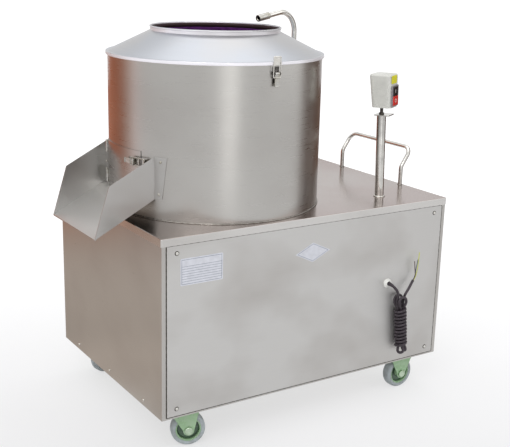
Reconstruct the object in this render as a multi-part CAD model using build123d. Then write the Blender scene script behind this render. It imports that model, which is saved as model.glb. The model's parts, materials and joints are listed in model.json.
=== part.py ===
from build123d import *
import os
from math import acos, asin, atan2, cos, degrees, pi, radians, sin, sqrt, tan

# Electric potato peeler on casters: a sheet-steel cabinet with the motor and belt
# drive inside, a peeling drum with an abrasive turntable on its deck, a side chute
# with a hinged discharge door, a water pipe, a push handle and a switch on a post.
#
# Millimetres.  +X runs along the cabinet towards the push handle, +Y towards the
# back, +Z up.  The origin is on the floor, under the middle of the whole outline.

# ------------------------------------------------------------- driving sizes

# Cabinet
CABINET_LENGTH = 1000.0
CABINET_DEPTH = 700.0
CABINET_HEIGHT = 520.0
WALL_SHEET = 1.5
DECK_SHEET = 2.0
DECK_LIP = 22.0             # height of the deck's folded edge
PAN_SHEET = 3.0
PAN_LIP = 34.0              # height of the pan's upturned edge
FRONT_BORDER = 60.0         # width of the front frame round its window
PANEL_SHEET = 1.5
PANEL_SIDE_MARGIN = 17.0    # cabinet side to panel edge
PANEL_TOP_MARGIN = 1.0      # deck lip to panel edge
PANEL_BOTTOM_MARGIN = 7.0
LOUVRE_LENGTH = 110.0
LOUVRE_HEIGHT = 7.0
LOUVRE_PITCH = 22.0
LOUVRE_ROWS = 8
LOUVRE_SPREAD = 420.0       # distance between the two columns
SEAT_GAP = 0.1              # between curved faces that are fastened together
RUNNING_GAP = 0.05          # radial clearance of a shaft in its bore
FACE_GAP = 0.3              # between faces that slide past each other

# Inner frame of square tube
TUBE = 30.0
TUBE_WALL = 3.0
DRUM_BEAM_SPACING = 170.0   # between the centres of the two beams under the drum
MOTOR_STAND_SPAN = 220.0
MOTOR_PLATE = 8.0

# Fasteners
SCREW_HEAD_RADIUS = 4.5
SCREW_HEAD_HEIGHT = 2.4
SCREW_RADIUS = 2.0
SCREW_EDGE = 30.0           # panel's side edge to screw
SCREW_RISE = 21.0           # panel's top or bottom edge to screw
SIDE_SCREW_SPACING = 233.0
SIDE_SCREW_RISE = 17.0
BOLT_RADIUS = 4.0
BOLT_HEAD_RADIUS = 7.0
BOLT_HEAD_HEIGHT = 5.0
RIVET_RADIUS = 4.0
RIVET_HEIGHT = 2.0

# Drum
DRUM_MARGIN = 37.0          # cabinet's left side to the drum's wall
DRUM_OFFSET_Y = -13.0       # drum axis from the middle of the cabinet
DRUM_RADIUS = 315.0
DRUM_SHEET = 2.0
DRUM_HEIGHT = 441.0
LINING_THICKNESS = 6.0
LINING_TOP_MARGIN = 14.0
FLOOR_SHEET = 3.0
FLOOR_COLLAR_HEIGHT = 24.0
FLOOR_COLLAR_WALL = 4.0

# Cone cover
SKIRT_THICKNESS = 5.5
SKIRT_HEIGHT = 10.0
SKIRT_LAP = 7.0             # how far the skirt hangs below the drum's rim
COVER_SHEET = 2.0
MOUTH_RADIUS = 189.0
CONE_RISE = 60.0
MOUTH_COLLAR = 13.0
MOUTH_BEAD = 2.6

# Discharge opening, door and chute
PORT_HALF_WIDTH = 100.0
PORT_SILL = 62.0            # above the deck
PORT_HEIGHT = 118.0
DOOR_SHEET = 2.0
DOOR_GAP = 0.5
DOOR_LAP = 8.0              # door past the port, on every side
HINGE_PIN_RADIUS = 2.5
HINGE_BARREL_RADIUS = 4.5
HINGE_KNUCKLE = 12.0
HINGE_INSET = 22.0          # door end to the middle of its hinge
HINGE_LEAF = 22.0
LEAF_SHEET = 1.5
CHUTE_MARGIN = 52.0         # port's edge to the outside of a chute wall
CHUTE_SHEET = 1.5
CHUTE_REACH = 143.0         # drum wall to the lip
CHUTE_LIP_DROP = 34.0       # lip below the deck
CHUTE_SLOPE = 27.6
CHUTE_WALL_HEIGHT = 118.0   # at the drum
CHUTE_NOSE_LEAN = 44.0      # how far the front edge leans back
CHUTE_NOSE_RISE = 142.0
CHUTE_FLANGE = 39.0         # width at the top
CHUTE_FLANGE_FOOT = 24.0    # width at the bottom
CHUTE_RIVET_REACH = 30.0    # drum wall back to the rivets of the back wall
CHUTE_RIVET_RISE = 111.0    # top one of those rivets above the deck
CHUTE_RIVET_PITCH = 24.0
CHUTE_HEM = 3.0
CHUTE_PAD = 26.0            # square pad inside the back wall
CHUTE_PAD_SHEET = 2.0
CHUTE_PAD_REACH = 11.5      # drum wall back to the middle of the pad
CHUTE_PAD_RISE = 118.0      # above the deck

# Draw latches
LATCH_REACH = 45.0          # lever pin to the hook
LATCH_THROW = 11.0          # lever pin to bail pin
LATCH_PIN_HEIGHT = 8.0
LATCH_PIN_RADIUS = 2.0
LATCH_LEVER = 34.0
LATCH_LEVER_WIDTH = 14.0
LATCH_SHEET = 2.0
LATCH_EAR_RADIUS = 4.6
LATCH_WIRE_RADIUS = 1.5
LATCH_SIDE_GAP = 0.5
LATCH_BASE_TAIL = 26.0
LATCH_BASE_HEAD = 18.0
LATCH_BAIL_HOLD = 3.0       # how far the bail's ends reach into the lever
LATCH_HOOK_FOOT = 12.0      # length of a hook's foot
LID_LATCH_AZIMUTH = -89.2
LID_HOOK_RISE = 11.5        # top of the hook above the skirt
DOOR_LATCH_AZIMUTH = 196.2
DOOR_LATCH_RISE = 158.0     # above the deck

# Turntable and drive
TURNTABLE_GAP = 4.0         # to the lining
TURNTABLE_THICKNESS = 10.0
TURNTABLE_TOP = 58.0        # above the deck
TURNTABLE_RIB_HEIGHT = 9.0
TURNTABLE_RIB_WIDTH = 34.0
TURNTABLE_RIBS = 3
HUB_WALL = 10.0
HUB_BOSS_RADIUS = 38.0
BOSS_HEIGHT = 12.0
CAP_NUT_RADIUS = 24.0
CAP_NUT_HEIGHT = 20.0
SHAFT_RADIUS = 17.5
BEARING_RADIUS = 31.0
BEARING_WIDTH = 17.0
HOUSING_RADIUS = 46.0
HOUSING_LENGTH = 190.0
HOUSING_FLANGE = 10.0
HOUSING_TOP_GAP = 2.0
SEAL_WIDTH = 8.0
PULLEY_RADIUS = 160.0
MOTOR_PULLEY_RADIUS = 40.0
PULLEY_GROOVES = 2
GROOVE_PITCH = 19.0
GROOVE_DEPTH = 11.0
GROOVE_MOUTH = 13.0
GROOVE_ROOT = 9.0
BELT_WIDTH = 8.2
BELT_DEPTH = 8.5
PULLEY_WEB = 12.0
PULLEY_LEVEL = 170.0        # top of the pulleys above the pan
DRIVE_CENTRES = 400.0       # drum axis to motor axis
MOTOR_RADIUS = 78.0
MOTOR_HEIGHT = 190.0
MOTOR_FINS = 20
MOTOR_FIN_HEIGHT = 7.0
MOTOR_SHAFT_RADIUS = 12.0
MOTOR_SHAFT_SEAT = 24.0
MOTOR_FLANGE = 12.0
MOTOR_FLANGE_LAP = 14.0
MOTOR_COWL = 44.0
TERMINAL_BOX_REACH = 46.0   # out of the motor's body
TERMINAL_BOX_WIDTH = 76.0
TERMINAL_BOX_HEIGHT = 76.0
TERMINAL_BOX_RISE = 50.0

# Drain and water
DRAIN_RADIUS = 25.0
DRAIN_WALL = 2.0
DRAIN_INSET = 90.0          # drum wall to the drain's axis
DRAIN_TAIL = 52.0           # below the cabinet
DRAIN_NOSE_RADIUS = 27.0    # hose tail at the end
DRAIN_NOSE_LENGTH = 40.0
PIPE_RADIUS = 8.0
PIPE_WALL = 1.5
PIPE_STANDOFF = 20.0        # drum wall to pipe axis
PIPE_AZIMUTH = 12.0
PIPE_RISE = 46.0            # corner of the upper bend above the mouth's collar
PIPE_REACH = 158.0
PIPE_DROOP = 9.5
PIPE_BEND = 60.0
PIPE_INLET_RISE = 62.0
PIPE_INLET_REACH = 130.0
PIPE_INLET_BEND = 36.0
NOZZLE_WALL = 2.4
NOZZLE_LENGTH = 46.0
CLIP_HEIGHT = 16.0
CLIP_WALL = 3.0
CLIP_FOOT_LENGTH = 36.0
LOWER_CLIP_RISE = 130.0
UPPER_CLIP_RISE = 350.0

# Push handle
HANDLE_RADIUS = 6.5
HANDLE_INSET = 13.0         # cabinet end to the handle's feet
HANDLE_LEAN = 39.5
HANDLE_RISE = 60.0          # straight part of the legs
HANDLE_HEIGHT = 119.0
HANDLE_SPAN = 314.0
HANDLE_OFFSET_Y = 15.0
HANDLE_BEND = 30.0

# Switch post
POST_INSET_X = 179.0        # cabinet's right side to the foot of the post
POST_INSET_Y = 114.0        # cabinet's front to the foot of the post
POST_LEAN = 2.0             # degrees from upright, top towards -X
POST_RADIUS = 14.0
POST_WALL = 1.5
POST_HEIGHT = 257.0
POST_FOOT_LAP = 3.0
POST_FOOT_HEIGHT = 3.0
POST_PLATE = 3.0
POST_PLATE_WIDTH = 46.0
POST_PLATE_DEPTH = 48.0
POST_PLATE_SHIFT = 8.0
STUD_RADIUS = 5.0
STUD_NUT_RADIUS = 8.0
STUD_NUT_HEIGHT = 4.0
STUD_LENGTH = 23.0
SWITCH_TURN = 28.0
SWITCH_WIDTH = 65.0         # at the top
SWITCH_DEPTH = 73.0
SWITCH_TAPER_SIDE = 1.5     # how far each face draws in towards the bottom
SWITCH_TAPER_BACK = 10.0
SWITCH_HEIGHT = 100.0
SWITCH_WALL = 2.5
SWITCH_SHIFT = 3.5          # middle of the box in front of the post
SWITCH_CORNER = 13.0
SWITCH_ROUND = 6.0          # of the top edge
BUTTON_WIDTH = 36.0
BUTTON_HEIGHT = 28.0
BUTTON_SPLIT = 0.8          # between the two buttons
BUTTON_GAP = 0.4
BUTTON_STEM = 15.0
BEZEL_SIDE = 8.0            # border beside the buttons
BEZEL_END = 3.2             # border above and below them
BEZEL_DEPTH = 2.8
BEZEL_RISE = 3.4            # above the bottom of the box
START_PROUD = 1.6
STOP_PROUD = 2.6
BUTTON_TRAVEL = 3.0

# Plates on the front panel
NAMEPLATE_WIDTH = 131.0
NAMEPLATE_HEIGHT = 76.0
NAMEPLATE_INSET = 122.5     # cabinet's left side to the middle of the plate
NAMEPLATE_DROP = 99.0       # deck to the middle of the plate
DIAMOND_WIDTH = 122.0
DIAMOND_HEIGHT = 58.0
DIAMOND_OFFSET_X = -10.0
DIAMOND_DROP = 105.0
PLATE_SHEET = 0.8

# Cord
CORD_RADIUS = 4.25
GLAND_INSET = 222.5         # cabinet's right side to the gland
GLAND_RISE = 274.5
GLAND_RADIUS = 14.5
GLAND_LENGTH = 10.0
GLAND_MOUTH = 7.5           # radius of the mouth the cord comes out of
GLAND_FLOOR = 2.0           # panel to the seat of the cord inside the mouth
HANK_RADIUS = 21.0
HANK_TIE_LENGTH = 133.0
HANK_LOOP_RISE = 39.0
HANK_LOOP_DROP = 16.0
HANK_LOOP_WIDTH = 46.0
HANK_LOOP_DEPTH = 24.0
HANK_TAIL_WIDTH = 28.0
HANK_TAIL_DEPTH = 15.0
HANK_LEAN = 5.5             # degrees from upright, foot towards +X
# From the cord's seat in the gland: across, out of the panel, and up
HANK_TOP = (37.5, -19.5, -39.0)
LEAD_ROUTE = [
    (0.0, 0.0, 0.0),
    (0.0, -12.0, 0.0),
    (3.0, -23.0, -3.0),
    (8.5, -30.0, -10.5),
    (15.0, -32.0, -20.5),
    (21.5, -29.0, -31.0),
    (26.0, -24.5, -42.0),
]
TAIL_ROUTE = [
    (55.0, -21.0, -43.0),
    (62.5, -22.0, -31.5),
    (71.0, -21.5, -21.0),
    (79.5, -19.5, -10.5),
    (88.0, -18.5, 0.5),
]

# Casters
CASTER_INSET_X = 102.0      # cabinet's side to the middle of a caster
CASTER_INSET_Y = 63.0
CASTER_PLATE = 3.0
CASTER_PLATE_LENGTH = 100.0
CASTER_PLATE_WIDTH = 76.0
CASTER_BOLT_X = 80.0
CASTER_BOLT_Y = 60.0
WHEEL_RADIUS = 50.0
WHEEL_WIDTH = 32.0
TYRE_DEPTH = 13.0
TYRE_ROUND = 6.0
HUB_PROUD = 2.5             # boss past each side of the tyre
HUB_RADIUS = 14.0
HUB_DISC = 8.0
HUB_RIM = 4.0
AXLE_RADIUS = 6.0
AXLE_HEAD_RADIUS = 11.5
AXLE_HEAD_HEIGHT = 5.5
FORK_SHEET = 3.5
FORK_SIDE_GAP = 0.5         # hub face to fork leg
FORK_BRIDGE = 4.0
FORK_CROWN_GAP = 6.0        # tyre to bridge
FORK_TOP_WIDTH = 84.0       # of a swivel fork
RIGID_TOP_WIDTH = 96.0      # of a rigid fork
FORK_FOOT_RADIUS = 16.0
SWIVEL_TRAIL = 12.0
SWIVEL_RACE_HEIGHT = 7.0    # bridge to plate
SWIVEL_RACE_RADIUS = 27.0
KINGPIN_RADIUS = 6.0
KINGPIN_HEAD = 3.5
KINGPIN_HEAD_RADIUS = 11.0
SWIVEL_TURNS = (160.0, 196.0)   # where the two swivel forks stand, front and back

# ------------------------------------------------------------ derived places

LEFT_REACH = CABINET_LENGTH / 2 - DRUM_MARGIN + CHUTE_REACH
RIGHT_REACH = CABINET_LENGTH / 2 - HANDLE_INSET + HANDLE_LEAN + HANDLE_RADIUS
CABINET_X = (LEFT_REACH - RIGHT_REACH) / 2
LEFT = CABINET_X - CABINET_LENGTH / 2
RIGHT = CABINET_X + CABINET_LENGTH / 2
FRONT = -CABINET_DEPTH / 2
BACK = CABINET_DEPTH / 2
BRIDGE_UNDER = 2 * WHEEL_RADIUS + FORK_CROWN_GAP
PLATE_UNDER = BRIDGE_UNDER + FORK_BRIDGE + SWIVEL_RACE_HEIGHT
PAN_Z = PLATE_UNDER + CASTER_PLATE
DECK_Z = PAN_Z + CABINET_HEIGHT
DECK_UNDER = DECK_Z - DECK_SHEET
DRUM_X = LEFT + DRUM_MARGIN + DRUM_RADIUS
DRUM_Y = DRUM_OFFSET_Y
DRUM_TOP = DECK_Z + DRUM_HEIGHT
DRUM_BORE = DRUM_RADIUS - DRUM_SHEET
LINING_RADIUS = DRUM_BORE - SEAT_GAP
LINING_BORE = LINING_RADIUS - LINING_THICKNESS
FRAME_FACE = FRONT + DECK_SHEET                 # outside of the front frame
PANEL_FACE = FRAME_FACE - PANEL_SHEET
PANEL_LEFT = LEFT + PANEL_SIDE_MARGIN
PANEL_RIGHT = RIGHT - PANEL_SIDE_MARGIN
PANEL_BOTTOM = PAN_Z + PANEL_BOTTOM_MARGIN
PANEL_TOP = DECK_Z - DECK_LIP - PANEL_TOP_MARGIN
SKIRT_INNER = DRUM_RADIUS + SEAT_GAP
SKIRT_RADIUS = SKIRT_INNER + SKIRT_THICKNESS
SKIRT_BOTTOM = DRUM_TOP - SKIRT_LAP
SKIRT_TOP = SKIRT_BOTTOM + SKIRT_HEIGHT
MOUTH_BOTTOM = DRUM_TOP + CONE_RISE
MOUTH_TOP = MOUTH_BOTTOM + MOUTH_COLLAR
CHUTE_HALF = PORT_HALF_WIDTH + CHUTE_MARGIN
CHUTE_LIP_X = -DRUM_RADIUS - CHUTE_REACH        # about the drum's axis
CHUTE_LIP_Z = DECK_Z - CHUTE_LIP_DROP
CHUTE_RISE = tan(radians(CHUTE_SLOPE))
CHUTE_ROOT_X = -sqrt(DRUM_RADIUS**2 - CHUTE_HALF**2)
CHUTE_ROOT_Z = CHUTE_LIP_Z + (CHUTE_ROOT_X - CHUTE_LIP_X) * CHUTE_RISE
CHUTE_ROOT_ANGLE = degrees(asin(CHUTE_HALF / DRUM_RADIUS))
PORT_BOTTOM = DECK_Z + PORT_SILL
PORT_TOP = PORT_BOTTOM + PORT_HEIGHT
DOOR_RADIUS = DRUM_RADIUS + DOOR_GAP            # inside of the door
DOOR_FACE = DOOR_RADIUS + DOOR_SHEET
DOOR_BOTTOM = PORT_BOTTOM - DOOR_LAP
DOOR_TOP = PORT_TOP + DOOR_LAP
HINGE_RADIUS = DOOR_RADIUS + HINGE_BARREL_RADIUS
PORT_ANGLE = degrees(asin(PORT_HALF_WIDTH / DRUM_RADIUS))
LAP_ANGLE = degrees(DOOR_LAP / DRUM_RADIUS)
BARREL_ANGLE = degrees((HINGE_BARREL_RADIUS + 1.0) / DRUM_RADIUS)
DOOR_FREE_AZIMUTH = 180.0 + PORT_ANGLE + LAP_ANGLE
DOOR_HELD_AZIMUTH = 180.0 - PORT_ANGLE - LAP_ANGLE
HINGE_AZIMUTH = DOOR_HELD_AZIMUTH - BARREL_ANGLE
HINGE_LEVELS = (DOOR_BOTTOM + HINGE_INSET, DOOR_TOP - HINGE_INSET)
PULLEY_TOP = PAN_Z + PULLEY_LEVEL
PULLEY_HEIGHT = PULLEY_GROOVES * GROOVE_PITCH + 4.0
PULLEY_BOTTOM = PULLEY_TOP - PULLEY_HEIGHT
MOTOR_X = DRUM_X + DRIVE_CENTRES
MOTOR_BASE = PULLEY_TOP + MOTOR_PLATE + 10.0
BEAM_UNDER = DECK_UNDER - TUBE
COLLAR_BORE = SHAFT_RADIUS + 4.0
COLLAR_RADIUS = COLLAR_BORE + FLOOR_COLLAR_WALL
TURNTABLE_RADIUS = LINING_BORE - TURNTABLE_GAP
DRAIN_OFFSET = DRUM_RADIUS - DRAIN_INSET        # behind the drum's axis
PIPE_TOP = MOUTH_TOP + PIPE_RISE
POST_X = RIGHT - POST_INSET_X
POST_Y = FRONT + POST_INSET_Y
POST_TOP = DECK_Z + POST_HEIGHT
SWITCH_BOTTOM = POST_TOP + POST_PLATE + STUD_LENGTH
BUTTON_SPACING = BUTTON_HEIGHT + BUTTON_SPLIT
BUTTONS_HALF_WIDTH = BUTTON_WIDTH / 2 + BUTTON_GAP
BUTTONS_HALF_HEIGHT = (BUTTON_SPACING + BUTTON_HEIGHT) / 2 + BUTTON_GAP
BEZEL_HEIGHT = 2 * (BUTTONS_HALF_HEIGHT + BEZEL_END)
BUTTONS_MIDDLE = SWITCH_BOTTOM + BEZEL_RISE + BEZEL_HEIGHT / 2
GLAND_X = RIGHT - GLAND_INSET
GLAND_Z = PAN_Z + GLAND_RISE
CORD_SEAT = PANEL_FACE - GLAND_FLOOR
HUB_WIDTH = WHEEL_WIDTH + 2 * HUB_PROUD
AXLE_REACH = HUB_WIDTH / 2 + FORK_SIDE_GAP + FORK_SHEET


# ----------------------------------------------------------------- shapes

def block(x0, x1, y0, y1, z0, z1):
    """Block between two corners, with its sides along the axes."""
    centre = Pos((x0 + x1) / 2, (y0 + y1) / 2, (z0 + z1) / 2)
    return centre * Box(x1 - x0, y1 - y0, z1 - z0)


def rod(radius, z0, z1, x=0.0, y=0.0):
    """Upright cylinder between two heights."""
    return Pos(x, y, (z0 + z1) / 2) * Cylinder(radius, z1 - z0)


def ring(outer, inner, z0, z1, x=0.0, y=0.0):
    return rod(outer, z0, z1, x, y) - rod(inner, z0 - 1, z1 + 1, x, y)


def turned(points):
    """Solid of revolution about Z from a closed outline of (radius, height) points."""
    outline = make_face(Polyline([(r, 0, z) for r, z in points], close=True))
    return revolve(outline, Axis.Z)


def wedge(azimuth_low, azimuth_high, z0, z1, reach=2 * DRUM_RADIUS):
    """Slice of space about the Z axis between two azimuths less than 180 degrees apart."""
    a, b = radians(azimuth_low), radians(azimuth_high)
    middle = (a + b) / 2
    corners = [
        (0, 0),
        (reach * cos(a), reach * sin(a)),
        (1.5 * reach * cos(middle), 1.5 * reach * sin(middle)),
        (reach * cos(b), reach * sin(b)),
    ]
    return Pos(0, 0, z0) * extrude(make_face(Polyline(corners, close=True)), z1 - z0)


def curved_plate(inner, thickness, azimuth_low, azimuth_high, z0, z1):
    """Piece of a cylinder's wall about the Z axis."""
    return ring(inner + thickness, inner, z0, z1) & wedge(azimuth_low, azimuth_high, z0, z1)


def at_drum(shape):
    return Pos(DRUM_X, DRUM_Y, 0) * shape


def on_drum(azimuth, radius, z, draw=(0, 0, 1)):
    """Frame on the drum about its own axis: y along draw, z outwards."""
    a = radians(azimuth)
    out = Vector(cos(a), sin(a), 0)
    across = Vector(*draw).cross(out)
    return Plane(origin=out * radius + Vector(0, 0, z), x_dir=across, z_dir=out).location


def tube_along(path, outer, inner=0.0):
    """Round bar or tube swept along a path of straight runs and tangent arcs."""
    section = Plane(path @ 0, z_dir=path % 0) * Circle(outer)
    if inner:
        section -= Plane(path @ 0, z_dir=path % 0) * Circle(inner)
    return sweep(section, path=path)


def group(shapes):
    """Separate solids that share one node."""
    solids = []
    for shape in shapes:
        solids.extend(shape.solids())
    return Compound(children=solids) if len(solids) > 1 else solids[0]


def hexagon(radius, height):
    return extrude(RegularPolygon(radius, 6), height)


# ------------------------------------------------------------ cabinet

def caster_places():
    """Four (x, y) places: the swivel pair first, then the rigid pair."""
    left, right = LEFT + CASTER_INSET_X, RIGHT - CASTER_INSET_X
    front, back = FRONT + CASTER_INSET_Y, BACK - CASTER_INSET_Y
    return [(left, front), (left, back), (right, front), (right, back)]


def caster_bolt_places():
    places = []
    for x, y in caster_places():
        for dx in (-CASTER_BOLT_X / 2, CASTER_BOLT_X / 2):
            for dy in (-CASTER_BOLT_Y / 2, CASTER_BOLT_Y / 2):
                places.append((x + dx, y + dy))
    return places


def panel_screw_places():
    places = []
    for x in (PANEL_LEFT + SCREW_EDGE, PANEL_RIGHT - SCREW_EDGE):
        for z in (PANEL_BOTTOM + SCREW_RISE, PANEL_TOP - SCREW_RISE):
            places.append((x, z))
    return places


def side_screw_places():
    return [(y, PAN_Z + SIDE_SCREW_RISE) for y in (-SIDE_SCREW_SPACING, 0.0, SIDE_SCREW_SPACING)]


def front_bores(radius):
    """Bores along Y for the panel screws, through everything behind the panel."""
    length = PANEL_SHEET + WALL_SHEET + PAN_SHEET
    bores = []
    for x, z in panel_screw_places():
        place = Pos(x, PANEL_FACE + length / 2, z) * Rot(90, 0, 0)
        bores.append(place * Cylinder(radius, length))
    return bores


def side_bores(radius):
    length = WALL_SHEET + PAN_SHEET
    bores = []
    for y, z in side_screw_places():
        place = Pos(LEFT + DECK_SHEET + length / 2, y, z) * Rot(0, 90, 0)
        bores.append(place * Cylinder(radius, length))
    return bores


def deck():
    shape = block(LEFT, RIGHT, FRONT, BACK, DECK_Z - DECK_LIP, DECK_Z)
    shape = fillet(shape.edges().filter_by(Axis.Z), 4.0)
    shape = fillet(shape.edges().group_by(Axis.Z)[-1], 1.5)
    inside = DECK_SHEET
    shape -= block(LEFT + inside, RIGHT - inside, FRONT + inside, BACK - inside,
                   DECK_Z - DECK_LIP, DECK_UNDER)
    shape -= rod(COLLAR_RADIUS, DECK_UNDER, DECK_Z, DRUM_X, DRUM_Y)
    shape -= rod(DRAIN_RADIUS + SEAT_GAP, DECK_UNDER, DECK_Z, DRUM_X, DRUM_Y + DRAIN_OFFSET)
    return shape


def cabinet_wrap():
    """Left, back and right walls bent from one sheet, with louvres in the back."""
    x0, x1 = LEFT + DECK_SHEET, RIGHT - DECK_SHEET
    y0, y1 = FRAME_FACE + WALL_SHEET, BACK - DECK_SHEET
    shape = block(x0, x1, y0, y1, PAN_Z, DECK_UNDER)
    shape -= block(x0 + WALL_SHEET, x1 - WALL_SHEET, y0, y1 - WALL_SHEET, PAN_Z, DECK_UNDER)
    middle = (PAN_Z + DECK_Z) / 2
    for column in (-LOUVRE_SPREAD / 2, LOUVRE_SPREAD / 2):
        for row in range(LOUVRE_ROWS):
            z = middle + (row - (LOUVRE_ROWS - 1) / 2) * LOUVRE_PITCH
            shape -= (Pos(CABINET_X + column, y1 - WALL_SHEET / 2, z)
                      * Box(LOUVRE_LENGTH, 2 * WALL_SHEET, LOUVRE_HEIGHT))
    for bore in side_bores(SCREW_RADIUS + SEAT_GAP):
        shape -= bore
    return shape


def front_frame():
    x0, x1 = LEFT + DECK_SHEET, RIGHT - DECK_SHEET
    y0, y1 = FRAME_FACE, FRAME_FACE + WALL_SHEET
    shape = block(x0, x1, y0, y1, PAN_Z, DECK_UNDER)
    shape -= block(x0 + FRONT_BORDER, x1 - FRONT_BORDER, y0, y1,
                   PAN_Z + FRONT_BORDER, DECK_UNDER - FRONT_BORDER)
    for bore in front_bores(SCREW_RADIUS + SEAT_GAP):
        shape -= bore
    return shape


def front_panel():
    shape = block(PANEL_LEFT, PANEL_RIGHT, PANEL_FACE, FRAME_FACE, PANEL_BOTTOM, PANEL_TOP)
    for bore in front_bores(SCREW_RADIUS + SEAT_GAP):
        shape -= bore
    shape -= (Pos(GLAND_X, (PANEL_FACE + FRAME_FACE) / 2, GLAND_Z) * Rot(90, 0, 0)
              * Cylinder(CORD_RADIUS + 1.0, PANEL_SHEET))
    return shape


def bottom_pan():
    """Tray between the walls that carries the frame and the casters."""
    x0, x1 = LEFT + DECK_SHEET + WALL_SHEET, RIGHT - DECK_SHEET - WALL_SHEET
    y0, y1 = FRAME_FACE + WALL_SHEET, BACK - DECK_SHEET - WALL_SHEET
    inside = PAN_SHEET
    shape = block(x0, x1, y0, y1, PAN_Z, PAN_Z + PAN_LIP)
    shape -= block(x0 + inside, x1 - inside, y0 + inside, y1 - inside,
                   PAN_Z + PAN_SHEET, PAN_Z + PAN_LIP)
    for x, y in caster_bolt_places():
        shape -= rod(BOLT_RADIUS + SEAT_GAP, PAN_Z, PAN_Z + PAN_SHEET, x, y)
    shape -= rod(DRAIN_RADIUS + SEAT_GAP, PAN_Z, PAN_Z + PAN_SHEET, DRUM_X, DRUM_Y + DRAIN_OFFSET)
    for bore in front_bores(SCREW_RADIUS + SEAT_GAP) + side_bores(SCREW_RADIUS + SEAT_GAP):
        shape -= bore
    return shape


def square_tube(x0, x1, y0, y1, z0, z1, along):
    """Square tube filling a block, open along "x", "y" or "z"."""
    wall = {"x": TUBE_WALL, "y": TUBE_WALL, "z": TUBE_WALL}
    wall[along] = 0.0
    shape = block(x0, x1, y0, y1, z0, z1)
    return shape - block(x0 + wall["x"], x1 - wall["x"], y0 + wall["y"], y1 - wall["y"],
                         z0 + wall["z"], z1 - wall["z"])


def base_frame():
    """Welded frame: two rectangles on four posts, drum beams and the motor stand."""
    x0 = LEFT + DECK_SHEET + WALL_SHEET + PAN_SHEET
    x1 = RIGHT - DECK_SHEET - WALL_SHEET - PAN_SHEET
    y0 = FRAME_FACE + WALL_SHEET + PAN_SHEET
    y1 = BACK - DECK_SHEET - WALL_SHEET - PAN_SHEET
    low = PAN_Z + PAN_SHEET
    members = []
    for z0 in (low, BEAM_UNDER):
        z1 = z0 + TUBE
        members += [
            square_tube(x0, x1, y0, y0 + TUBE, z0, z1, "x"),
            square_tube(x0, x1, y1 - TUBE, y1, z0, z1, "x"),
            square_tube(x0, x0 + TUBE, y0 + TUBE, y1 - TUBE, z0, z1, "y"),
            square_tube(x1 - TUBE, x1, y0 + TUBE, y1 - TUBE, z0, z1, "y"),
        ]
    for x in (x0, x1 - TUBE):
        for y in (y0, y1 - TUBE):
            members.append(square_tube(x, x + TUBE, y, y + TUBE, low + TUBE, BEAM_UNDER, "z"))
    for x in (DRUM_X - DRUM_BEAM_SPACING / 2, DRUM_X + DRUM_BEAM_SPACING / 2):
        members.append(square_tube(x - TUBE / 2, x + TUBE / 2, y0 + TUBE, y1 - TUBE,
                                   BEAM_UNDER, DECK_UNDER, "y"))
    half = MOTOR_STAND_SPAN / 2
    for y in (DRUM_Y - half, DRUM_Y + half - TUBE):
        members.append(square_tube(x0 + TUBE, x1 - TUBE, y, y + TUBE, low, low + TUBE, "x"))
        for x in (MOTOR_X - half, MOTOR_X + half - TUBE):
            members.append(square_tube(x, x + TUBE, y, y + TUBE, low + TUBE,
                                       MOTOR_BASE - MOTOR_PLATE, "z"))
    plate = block(MOTOR_X - half, MOTOR_X + half, DRUM_Y - half, DRUM_Y + half,
                  MOTOR_BASE - MOTOR_PLATE, MOTOR_BASE)
    plate -= rod(MOTOR_PULLEY_RADIUS + 8.0, MOTOR_BASE - MOTOR_PLATE, MOTOR_BASE, MOTOR_X, DRUM_Y)
    members.append(plate)
    shape = members[0].fuse(*members[1:])
    for x, y in caster_bolt_places():
        shape -= rod(BOLT_HEAD_RADIUS + 1.0, low, low + BOLT_HEAD_HEIGHT + 1.0, x, y)
    return shape


def pan_head():
    """Head of a pan-head screw, seated at z 0 and rising along +Z."""
    shape = Pos(0, 0, SCREW_HEAD_HEIGHT / 2) * Cylinder(SCREW_HEAD_RADIUS, SCREW_HEAD_HEIGHT)
    shape = fillet(shape.edges().group_by(Axis.Z)[-1], SCREW_HEAD_HEIGHT * 0.45)
    slot = Pos(0, 0, SCREW_HEAD_HEIGHT) * Box(0.9, 2 * SCREW_HEAD_RADIUS, 1.6)
    cross = slot + Rot(0, 0, 90) * slot
    keep = Pos(0, 0, SCREW_HEAD_HEIGHT) * Cylinder(SCREW_HEAD_RADIUS * 0.6, 2.0)
    return shape - (cross & keep)


def panel_screws():
    """Four screws of the front panel and three along the foot of the left wall."""
    screws = []
    front = PANEL_SHEET + WALL_SHEET + PAN_SHEET
    for x, z in panel_screw_places():
        place = Pos(x, PANEL_FACE, z) * Rot(90, 0, 0)
        screws.append(place * (pan_head() + rod(SCREW_RADIUS, -front, 0.0)))
    side = WALL_SHEET + PAN_SHEET
    for y, z in side_screw_places():
        place = Pos(LEFT + DECK_SHEET, y, z) * Rot(0, -90, 0)
        screws.append(place * (pan_head() + rod(SCREW_RADIUS, -side, 0.0)))
    return group(screws)


def caster_bolts():
    """Bolts that hang the casters from the pan, heads inside and nuts below."""
    bolts = []
    shank_low = PLATE_UNDER - BOLT_HEAD_HEIGHT
    for x, y in caster_bolt_places():
        head = Pos(x, y, PAN_Z + PAN_SHEET) * hexagon(BOLT_HEAD_RADIUS, BOLT_HEAD_HEIGHT)
        nut = Pos(x, y, shank_low) * hexagon(BOLT_HEAD_RADIUS, BOLT_HEAD_HEIGHT)
        bolts.append(head + nut + rod(BOLT_RADIUS, shank_low, PAN_Z + PAN_SHEET, x, y))
    return group(bolts)


# ------------------------------------------------------------ drum

def port_cut(margin=0.0):
    """Straight cut through the drum's left side for the discharge port."""
    half = PORT_HALF_WIDTH + margin
    return block(-DRUM_RADIUS - 10, -DRUM_RADIUS * 0.7, -half, half,
                 PORT_BOTTOM - margin, PORT_TOP + margin)


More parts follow.
